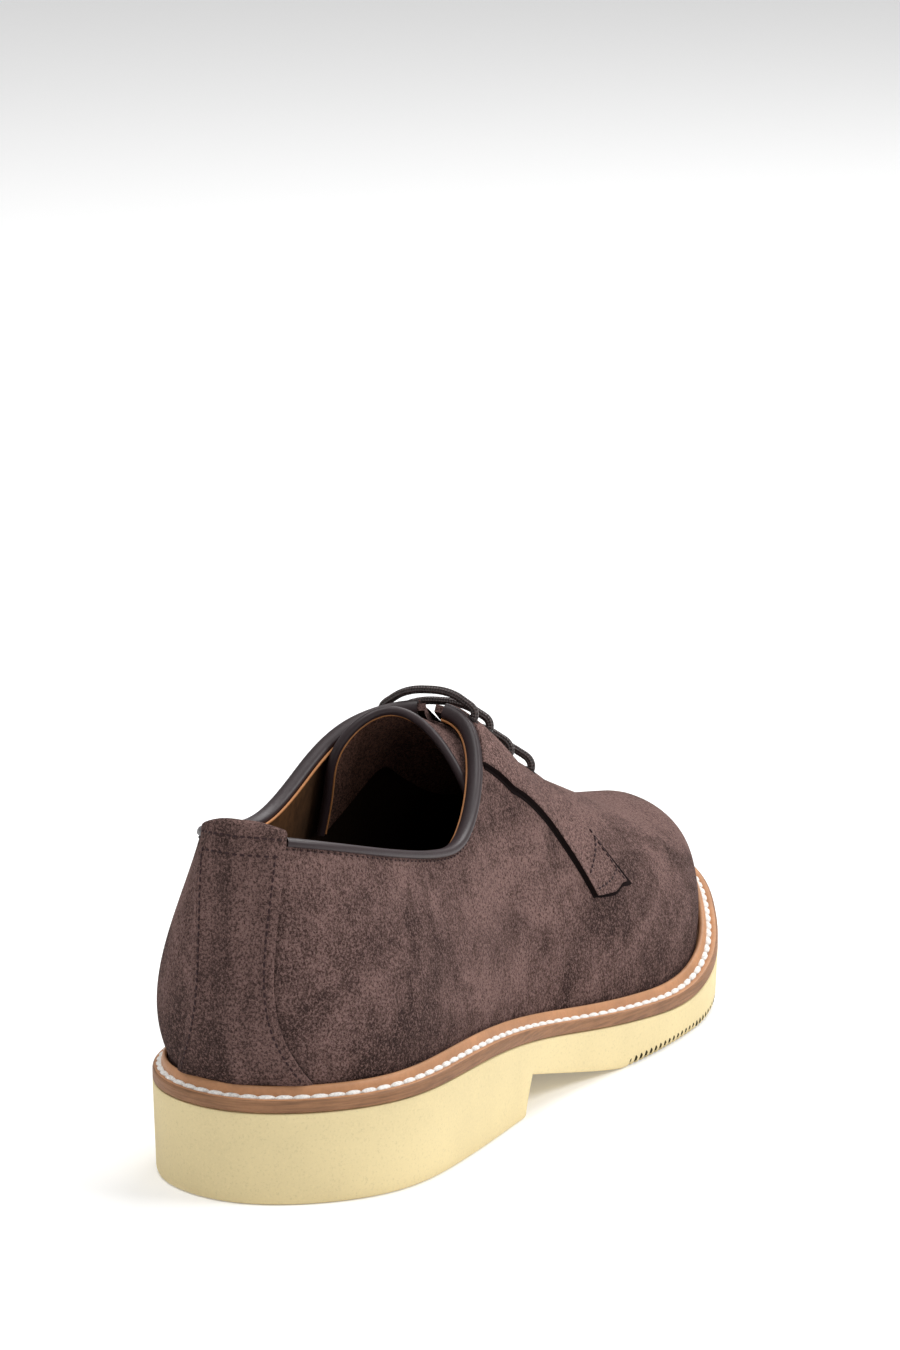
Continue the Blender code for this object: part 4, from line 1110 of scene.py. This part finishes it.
def heel_strip_points(place, levels, offsets):
    """Points of the heel strip across it (-1 to 1) at levels, where 1 is the collar's edge."""
    side = OUTER if place >= 0 else INNER
    points = []
    for level, offset in zip(levels, offsets):
        if offset > CLEARANCE * 1.5 and level < 0.93:
            offset += STRIP_BULGE * math.cos(abs(place) * STRIP_BULGE_WAVES)
        half = float(spline(HEEL_STRIP["up"], HEEL_STRIP["half"], level)) * HEEL_STRIP_WIDTH
        turn = turn_beside(side, abs(place) * half, level * top_share(OUTER, 0.0))
        tab = max(level - 1.0, 0.0) * (1 - HEEL_TAB_ROUND * place ** 2)
        share = (min(level, 1.0) + tab) * top_share(side, round(turn, 9))
        points.append(surface(side, turn, share, offset))
    return points


def strip_line(places, levels, outside):
    """A line on the heel strip with the directions that stand off it."""
    pairs = [heel_strip_points(place, [level] * 2, [outside, outside + STAND_OFF])
             for place, level in zip(places, levels)]
    return [low for low, _ in pairs], [high - low for low, high in pairs]


class MAKE_OT_heel_strip(bpy.types.Operator):
    """Suede strip up the back seam, folded over the collar, with its stitch rows"""

    bl_idname = "shoe.heel_strip"
    bl_label = "Heel strip"

    def execute(self, context):
        gap, thick = CLEARANCE, STRAP_THICKNESS
        length = COLLAR_HEIGHT - FOAM_AT_HEEL
        top, slot, lap = 1 + HEEL_TAB_RISE / length, 1 + gap / length, 1 - HEEL_TAB_LAP / length
        outside, inside = gap + thick, -WALL - gap - thick
        face = np.concatenate([np.linspace(0.004, 0.9, 34), np.linspace(0.9, 1.03, 9)[1:]])
        middle = (outside + inside) / 2
        profile = [(level, outside) for level in face]
        half = (outside - inside) / 2
        for angle in np.linspace(0, math.pi, 13)[1:-1]:
            profile.append((top - 0.03 + 0.03 * math.sin(angle), middle + half * math.cos(angle)))
        profile += [(level, inside) for level in np.linspace(1.02, lap, 8)]
        inner = [(level, inside + thick) for level in np.linspace(lap, slot, 8)]
        inner += [(slot, gap)] * (len(profile) - len(face) - 8)
        profile += inner + [(level, gap) for level in face[::-1]]
        levels, offsets = np.array(profile).T
        places = np.sin(np.linspace(-math.pi / 2, math.pi / 2, 33))
        sections = []
        for place in places:
            edge = np.clip((1 - abs(place)) / 0.06, 0, 1)
            trim = np.where(offsets > gap * 1.5, (1 - np.sqrt(1 - (1 - edge) ** 2)) * 0.2, 0.0)
            sections.append(heel_strip_points(place, levels, offsets - trim * thick))
        brown = suede("heel_suede", rgba(settings().suede_colour, 0.82)[:3], banded=True)
        # Painted shade: the strip's side edges are near black, standing in for the shade along its
        # raised edges.
        cut = plain("strip_cut_edge", (0.016, 0.009, 0.009), 0.95)
        piece = sweep("suede_heel_strip", sections, [brown, cut], cap_slot=1, smooth_angle=50)
        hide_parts("heel_strip")
        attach(piece, "root")
        dark = thread("dark_thread", settings().thread_colour, 0.6)
        levels = np.linspace(0.03, STRIP_SEAM_LEVEL, 60)
        halves = spline(HEEL_STRIP["up"], HEEL_STRIP["half"], levels) * HEEL_STRIP_WIDTH
        edges = 1 - STRIP_SEAM_INSET / halves
        lines = [strip_line(sign * edges, levels, outside) for sign in (-1, 1)]
        for level, reach in ((STRIP_SEAM_LEVEL, 0.80), (1.008, 0.86)):
            lines.append(strip_line(np.linspace(-reach, reach, 30), [level] * 30, outside))
        row = stitches("heel_strip_stitches", lines, dark, *STRIP_STITCH)
        return {"FINISHED"}


def topline_turns(side, first, count):
    """Turns of sections along the top line, closer together towards the corner."""
    turns = np.linspace(first, CORNER - 0.0006, 240)
    line = rib(side, turns, top_shares(side, turns))
    lengths = np.concatenate([[0], np.cumsum(np.linalg.norm(np.diff(line, axis=0), axis=1))])
    shares = 1 - (1 - np.linspace(0, 1, count)) ** 1.2
    return [round(float(t), 9) for t in np.interp(shares * lengths[-1], lengths, turns)]


def lapped(side, turn, profile):
    """Closed section over the top line: pairs of distance below it and outward offset."""
    _, _, down = topline_frame(side, turn)
    section = []
    for distance, offset in profile:
        here, v = below_topline(side, turn, max(distance, 0.0))
        section.append(surface(side, here, v, offset) + down * min(distance, 0.0))
    return section


class MAKE_OT_bindings(bpy.types.Operator):
    """Smooth leather piping over the top line with the lining's edge inside it"""

    bl_idname = "shoe.bindings"
    bl_label = "Collar bindings"

    def execute(self, context):
        gap, thick, lap = CLEARANCE, BINDING_THICKNESS, BINDING_LAP
        inside, middle = -WALL - gap, -WALL / 2
        half = (gap + thick - inside + thick) / 2
        outer = [(BINDING_WIDTH, gap + thick * 0.15), (BINDING_WIDTH * 0.93, gap + thick * 0.7),
                 (BINDING_WIDTH * 0.75, gap + thick), (BINDING_WIDTH * 0.35, gap + thick * 1.05)]
        for angle in np.linspace(0, math.pi, 9):
            outer.append((-(gap + thick) * math.sin(angle), middle + half * math.cos(angle)))
        outer += [(lap * 0.5, inside - thick), (lap, inside - thick)]
        inner = [(lap, inside), (lap * 0.4, inside)] + [(-gap, inside)] * 4
        inner += [(-gap, middle)] + [(-gap, gap)] * 4
        inner += [(BINDING_WIDTH * s, gap) for s in (0.3, 0.6, 0.85, 1)]
        smooth = leather("binding_leather", settings().binding_colour, 0.45, coat=0.06, grain=0.3)
        tan = leather("lining_edge_leather", settings().lining_edge_colour, 0.6)
        dark = bpy.data.materials["dark_thread"]
        start = HEEL_STRIP_WIDTH * HEEL_STRIP["half"][-1] + 2 * CLEARANCE
        for name, side in (("outer", OUTER), ("inner", INNER)):
            first = turn_beside(side, start, top_share(OUTER, 0.0))
            turns = topline_turns(side, first, 110)
            piece = sweep(f"leather_binding_{name}",
                          [lapped(side, t, outer + inner) for t in turns], [smooth],
                          smooth_angle=60)
            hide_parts(f"collar_binding_{name}")
            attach(piece, "root")
            depth = inside - thick - LINING_EDGE_DROP
            line = [lapped(side, t, [(LINING_EDGE_DROP, depth)])[0] for t in turns]
            edge = tube(f"lining_edge_{name}", line, LINING_EDGE_RADIUS, tan, sides=8)
            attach(edge, "root")
            below = [below_topline(side, t, BINDING_WIDTH + 0.0007) for t in turns[:-4]]
            t, v = np.array(below).T
            row = stitches(f"binding_stitches_{name}", [surface_line(side, t, v, 0.0001)], dark,
                           *BINDING_STITCH, seed=5)
        return {"FINISHED"}


def facing_rows(side, across):
    """Turn and share of the points across a facing strip, row by row from the binding down."""
    start = np.linspace(CORNER - 0.0004, float(turn_of(FACING_START)), len(across))
    distance = BINDING_WIDTH + CLEARANCE
    rows = [[below_topline(side, round(float(t), 9), distance) for t in start]]
    for front_along, front_up, back_along, back_up in zip(*FACING.values()):
        turns = turn_of(front_along + (back_along - front_along) * across)
        ups = front_up + (back_up - front_up) * across
        rows.append(list(zip(turns, ups * top_shares(side, turns))))
    return np.array(rows)


def facing_grid(side, across, down):
    """Turns and shares of a fine grid over a facing strip."""
    coarse = np.linspace(0, 1, 6)
    rows = facing_rows(side, coarse)
    knots = np.linspace(0, 1, len(rows))
    lines = np.array([[spline(knots, rows[:, c, k], down) for c in range(6)] for k in (0, 1)])
    return [np.array([spline(coarse, lines[k][:, r], across) for r in range(len(down))])
            for k in (0, 1)]


def beyond_facing(side, across, down):
    """Turns and shares of a grid that may reach past the edges and the end of a facing strip."""
    beside = across - np.clip(across, 0, 1)
    below = (down - np.clip(down, 0, 1))[:, None]
    ends = facing_grid(side, np.array([0.0, 1.0]), np.clip(down, 0, 1))
    last = facing_grid(side, np.clip(across, 0, 1), np.array([0.98, 1.0]))
    grids = facing_grid(side, np.clip(across, 0, 1), np.clip(down, 0, 1))
    return [grid + (end[:, 1:] - end[:, :1]) * beside + (row[1:] - row[:1]) / 0.02 * below
            for grid, end, row in zip(grids, ends, last)]


class MAKE_OT_facings(bpy.types.Operator):
    """Suede strips that carry the lace holes, with their seams"""

    bl_idname = "shoe.facings"
    bl_label = "Facings"

    def execute(self, context):
        brown = suede("facing_suede", np.array(settings().suede_colour) * 1.22, False, 0.45)
        dark = bpy.data.materials["dark_thread"]
        pale = plain("facing_underside", (0.27, 0.18, 0.165), 0.9, 0.1)
        hole = plain("hole_shadow", (0.012, 0.008, 0.008), 0.9, 0.5)
        # Painted shade: the long edges of each facing are near black, standing in for the shade
        # gap along its raised edges.
        cut = plain("facing_cut_edge", (0.010, 0.006, 0.006), 0.95)
        across = np.concatenate([[0, 0.006, 0.015, 0.03], np.linspace(0.055, 0.945, 28),
                                 [0.97, 0.985, 0.994, 1]])
        down = np.concatenate([[0, 0.004, 0.010], np.linspace(0.02, 0.98, 90),
                               [0.99, 0.996, 1]])
        edge = np.minimum(np.minimum(across, 1 - across)[None, :] * FACING_WIDTH,
                          np.minimum(down, 1 - down)[:, None] * FACING_LENGTH) / FACING_ROUND
        crown = np.sqrt(1 - (1 - np.clip(edge, 0, 1)) ** 2)
        for name, side in (("outer", OUTER), ("inner", INNER)):
            t, v = facing_grid(side, across, down)
            loose = np.clip((down[:, None] - 0.60) / 0.25, 0, 1)
            near_front = np.clip((0.3 - across[None, :]) / 0.3, 0, 1) ** 2
            near_back = np.clip((across[None, :] - 0.8) / 0.2, 0, 1) ** 2
            lift = FACING_LIFT * (near_back - loose * near_front)
            dents = relief(side, t, v)
            top = surface(side, t, v, dents + CLEARANCE + lift
                          + STRAP_THICKNESS * (0.75 + 0.25 * crown))
            bottom = surface(side, t, v, dents + CLEARANCE * 0.5)
            piece = slab(f"suede_facing_{name}", top, bottom, [brown, cut, pale], rim_slot=1,
                         smooth_angle=50)
            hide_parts(f"facing_{name}")
            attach(piece, "root")
            # Painted shadow: a thin near-black sheet just under each facing reaches past its edges
            # and its end, standing in for the shadow it casts on the upper.
            wide = np.concatenate([[-0.14, -0.07], across[3:-3], [1.035]])
            long = np.concatenate([down[3:-3], [1.0, 1.014]])
            t, v = beyond_facing(side, wide, long)
            dents = relief(side, t, v)
            shade = slab(f"facing_backing_{name}", surface(side, t, v, dents + CLEARANCE),
                         surface(side, t, v, dents + CLEARANCE * 0.2), [cut])
            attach(shade, "root")
            lines = []
            over = CLEARANCE + STRAP_THICKNESS
            for place in (0.855, 0.955):
                turns, shares = facing_grid(side, np.linspace(0.12, 0.86, 20), np.array([place]))
                lines.append(surface_line(side, turns[0], shares[0], over))
            turns, shares = facing_grid(side, np.array([0.07]), np.linspace(0.84, 0.985, 24))
            lines.append(surface_line(side, turns[:, 0], shares[:, 0], over))
            row = stitches(f"facing_stitches_{name}", lines, dark, *FACING_STITCH)
            points, faces = [], []
            for along, out in zip(*EYELETS.values()):
                here = on_surface(side, side * out * BALL_WIDTH, along * OUTSOLE_LENGTH)
                centre = surface(side, *here, over + 0.00005)
                up = surface(side, *here, over + STAND_OFF) - centre
                up /= np.linalg.norm(up)
                first = np.cross(up, (0, 1, 0))
                first /= np.linalg.norm(first)
                second = np.cross(up, first)
                start = len(points)
                for radius, rise in HOLE_RINGS:
                    points += [centre + up * rise + radius * (math.cos(a) * first
                                                              + math.sin(a) * second)
                               for a in np.arange(20) * math.pi / 10]
                faces += grid_faces(3, 20, start, close_across=True)
                faces.append(tuple(range(start, start + 20)))
                faces.append(tuple(range(start + 40, start + 60)))
            holes = mesh_object(f"lace_holes_{name}", points, faces, [hole])
            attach(holes, "root")
        return {"FINISHED"}


def tongue_controls(row, depth, drop):
    """Control points across the tongue in one row, from its inner to its outer edge."""
    outer_along, outer_near, inner_along, inner_near, low, *place = row
    inner, outer = [[surface(side, float(turn_of(along)), v, -depth - drop)
                     for v in (low, (low + near) / 2, near)]
                    for side, along, near in ((INNER, inner_along, inner_near),
                                              (OUTER, outer_along, outer_near))]
    middle = surface(OUTER, float(turn_of(outer_along)), 1.0, -depth - drop)
    if outer_along < CORNER_ALONG:
        middle = place * np.array([HEEL_WIDTH, OUTSOLE_LENGTH, INSTEP_HEIGHT]) - (0, 0, drop)
    return [*inner, middle, *outer[::-1]]


def tongue_grid(drop, down, across):
    """Grid of points on one face of the tongue."""
    depth = WALL + BINDING_THICKNESS + 2 * FACET_CLEARANCE
    controls = np.array([tongue_controls(row, depth, drop) for row in zip(*TONGUE.values())])
    knots = np.linspace(0, 1, len(controls))
    rows = np.array([[spline(knots, controls[:, c, k], down) for k in range(3)]
                     for c in range(7)]).transpose(2, 0, 1)
    return np.array([path_spline(line, across) for line in rows])


class MAKE_OT_tongue(bpy.types.Operator):
    """Suede tongue with a bound top edge and a fuzzy brown lining"""

    bl_idname = "shoe.tongue"
    bl_label = "Tongue"

    def execute(self, context):
        down, across = np.linspace(0, 1, 60), np.linspace(0, 1, 71)
        top = tongue_grid(TONGUE_TRIM, down, across)
        bottom = tongue_grid(TONGUE_THICKNESS - TONGUE_TRIM, down, across)
        piece = slab("suede_tongue", top, bottom, [
            suede("tongue_suede", rgba(settings().suede_colour, 0.8)[:3]),
            suede("tongue_lining", settings().tongue_lining_colour, contrast=0.6)],
                     smooth_angle=60)
        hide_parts("tongue")
        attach(piece, "root")
        line = (top[0] + bottom[0]) / 2
        smooth = bpy.data.materials["binding_leather"]
        bead = tube("tongue_binding", line, TONGUE_THICKNESS * 0.56, smooth, sides=12)
        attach(bead, "root")
        inner = bottom[0] + (bottom[1] - bottom[0]) * 0.9 + (bottom[0] - top[0]) * 0.18
        edge = tube("tongue_lining_edge", inner, TONGUE_EDGE_RADIUS,
                    bpy.data.materials["lining_edge_leather"], sides=8)
        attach(edge, "root")
        return {"FINISHED"}


def lace_line(along, across):
    """Middle line of a bar of lace, out of one hole and down into the other."""
    radius = settings().lace_diameter / 2
    y, x = along * OUTSOLE_LENGTH, across * BALL_WIDTH
    rest = FACET_CLEARANCE + STRAP_THICKNESS + CLEARANCE + radius
    holes = {side: on_surface(side, side * x, y) for side in (INNER, OUTER)}
    ends = [surface(side, *holes[side], rest) for side in (INNER, OUTER)]
    middle = float(rib_value("outer_apex", turn_of(LACING_ALONG))) * HEEL_WIDTH
    crest = rib(OUTER, *on_surface(OUTER, middle, y))
    lift = crest[2] + rest + LACE_ARCH - (ends[0][2] + ends[1][2]) / 2
    places = np.linspace(-0.92, 0.92, 13)
    bar = [ends[0] + (ends[1] - ends[0]) * (place + 1) / 2 for place in places]
    bar = np.array(bar) + np.outer(1 - np.abs(places) ** 2.6, [0, 0, lift])
    dive = [[surface(side, *holes[side], depth) for depth in (-0.0018, 0.0002, 0.0016)]
            for side in (INNER, OUTER)]
    return np.concatenate([dive[0], bar, dive[1][::-1]])


class MAKE_OT_laces(bpy.types.Operator):
    """Straight bars of waxed lace from hole to hole"""

    bl_idname = "shoe.laces"
    bl_label = "Laces"

    def execute(self, context):
        material = waxed_lace("waxed_lace", settings().lace_colour)
        for number, (along, across) in enumerate(zip(*EYELETS.values()), start=1):
            path = path_spline(lace_line(along, across), np.linspace(0, 1, 110))
            radius = settings().lace_diameter / 2
            piece = tube(f"lace_{number}", path, radius, material, sides=16)
            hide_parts(f"lace_bar_{number}")
            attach(piece, "root")
        return {"FINISHED"}


def area_light(name, place, size, power):
    """Round white light that faces the shoe."""
    data = bpy.data.lights.new(name, "AREA")
    data.shape, data.size, data.energy = "DISK", size, power
    light = bpy.data.objects.new(name, data)
    light.matrix_world = Matrix.Translation(place) @ (
        Vector(LIGHT_TARGET) - Vector(place)).to_track_quat("-Z", "Y").to_matrix().to_4x4()
    bpy.context.collection.objects.link(light)


class MAKE_OT_stage(bpy.types.Operator):
    """Pale floor, soft lights and the camera"""

    bl_idname = "shoe.stage"
    bl_label = "Stage"

    def execute(self, context):
        scene = context.scene
        data = bpy.data.cameras.new("camera")
        data.lens, data.sensor_width = CAMERA_LENS, 36
        data.clip_end = 60
        camera = bpy.data.objects.new("camera", data)
        axes = Matrix(CAMERA_AXES).transposed().to_4x4()
        camera.matrix_world = Matrix.Translation(CAMERA_PLACE) @ axes
        context.collection.objects.link(camera)
        scene.camera = camera
        floor_data = bpy.data.meshes.new("floor")
        corners = [(x * FLOOR_REACH, y * FLOOR_REACH, 0)
                   for x, y in ((-1, -1), (1, -1), (1, 1), (-1, 1))]
        floor_data.from_pydata(corners, [], [(0, 1, 2, 3)])
        white = Finish("floor_white", 0.85, specular_ior_level=0.1,
                       emission_color=(1, 1, 1, 1), emission_strength=0.16)
        white.colour(rgba((0.90, 0.90, 0.90)))
        floor_data.materials.append(white.material)
        floor = bpy.data.objects.new("floor", floor_data)
        context.collection.objects.link(floor)
        world = bpy.data.worlds.new("studio")
        world.use_nodes = True
        back = world.node_tree.nodes["Background"]
        back.inputs["Color"].default_value = (1, 1, 1, 1)
        back.inputs["Strength"].default_value = WORLD_STRENGTH
        scene.world = world
        scene.view_settings.view_transform = "Standard"
        for light in LIGHTS:
            area_light(*light)
        return {"FINISHED"}


def colour_value(name, description, default):
    return bpy.props.FloatVectorProperty(
        name=name, description=description, subtype="COLOR", default=default, min=0, max=1)


class SuedeDerbySettings(bpy.types.PropertyGroup):
    """Sizes and colours of the shoe's finish"""

    suede_colour: colour_value("Suede", "Middle tone of the suede", (0.108, 0.066, 0.059))
    foam_colour: colour_value("Foam", "Colour of the foam sole", (0.76, 0.63, 0.355))
    welt_colour: colour_value("Welt", "Colour of the welt's top", (0.50, 0.245, 0.118))
    binding_colour: colour_value(
        "Binding", "Colour of the smooth binding leather", (0.030, 0.018, 0.020))
    lining_colour: colour_value("Lining", "Colour of the lining inside", (0.26, 0.118, 0.046))
    tongue_lining_colour: colour_value(
        "Tongue lining", "Colour of the fuzzy underside of the tongue", (0.075, 0.037, 0.026))
    lining_edge_colour: colour_value(
        "Lining edge", "Colour of the lining's cut edge", (0.50, 0.21, 0.075))
    lace_colour: colour_value("Lace", "Colour of the waxed lace", (0.042, 0.026, 0.024))
    thread_colour: colour_value("Thread", "Colour of the dark red thread", (0.026, 0.007, 0.008))
    welt_thread_colour: colour_value(
        "Welt thread", "Colour of the white welt thread", (0.93, 0.91, 0.87))
    welt_stitch_pitch: bpy.props.FloatProperty(
        name="Welt stitch pitch", description="Length of one stitch of the welt",
        default=0.0049, min=0.002, max=0.01, unit="LENGTH")
    lace_diameter: bpy.props.FloatProperty(
        name="Lace diameter", description="Thickness of the round lace",
        default=0.0024, min=0.001, max=0.004, unit="LENGTH")


class SHOE_PT_panel(bpy.types.Panel):
    """Buttons and values of the shoe"""

    bl_idname = "SHOE_PT_panel"
    bl_label = "Suede derby shoe"
    bl_space_type = "VIEW_3D"
    bl_region_type = "UI"
    bl_category = "Shoe"

    def draw(self, context):
        for operator in OPERATORS:
            self.layout.operator(operator.bl_idname)
        for name in SuedeDerbySettings.__annotations__:
            self.layout.prop(context.scene.suede_derby, name)


OPERATORS = (MAKE_OT_stage, MAKE_OT_outsole, MAKE_OT_welt, MAKE_OT_upper, MAKE_OT_heel_strip,
             MAKE_OT_bindings, MAKE_OT_facings, MAKE_OT_tongue, MAKE_OT_laces)


def register():
    for item in (SuedeDerbySettings, *OPERATORS, SHOE_PT_panel):
        bpy.utils.register_class(item)
    bpy.types.Scene.suede_derby = bpy.props.PointerProperty(type=SuedeDerbySettings)


def unregister():
    del bpy.types.Scene.suede_derby
    for item in (SHOE_PT_panel, *reversed(OPERATORS), SuedeDerbySettings):
        bpy.utils.unregister_class(item)


def main():
    register()
    for operator in OPERATORS:
        getattr(bpy.ops.shoe, operator.bl_idname.split(".")[1])()


if __name__ == "__main__":
    main()
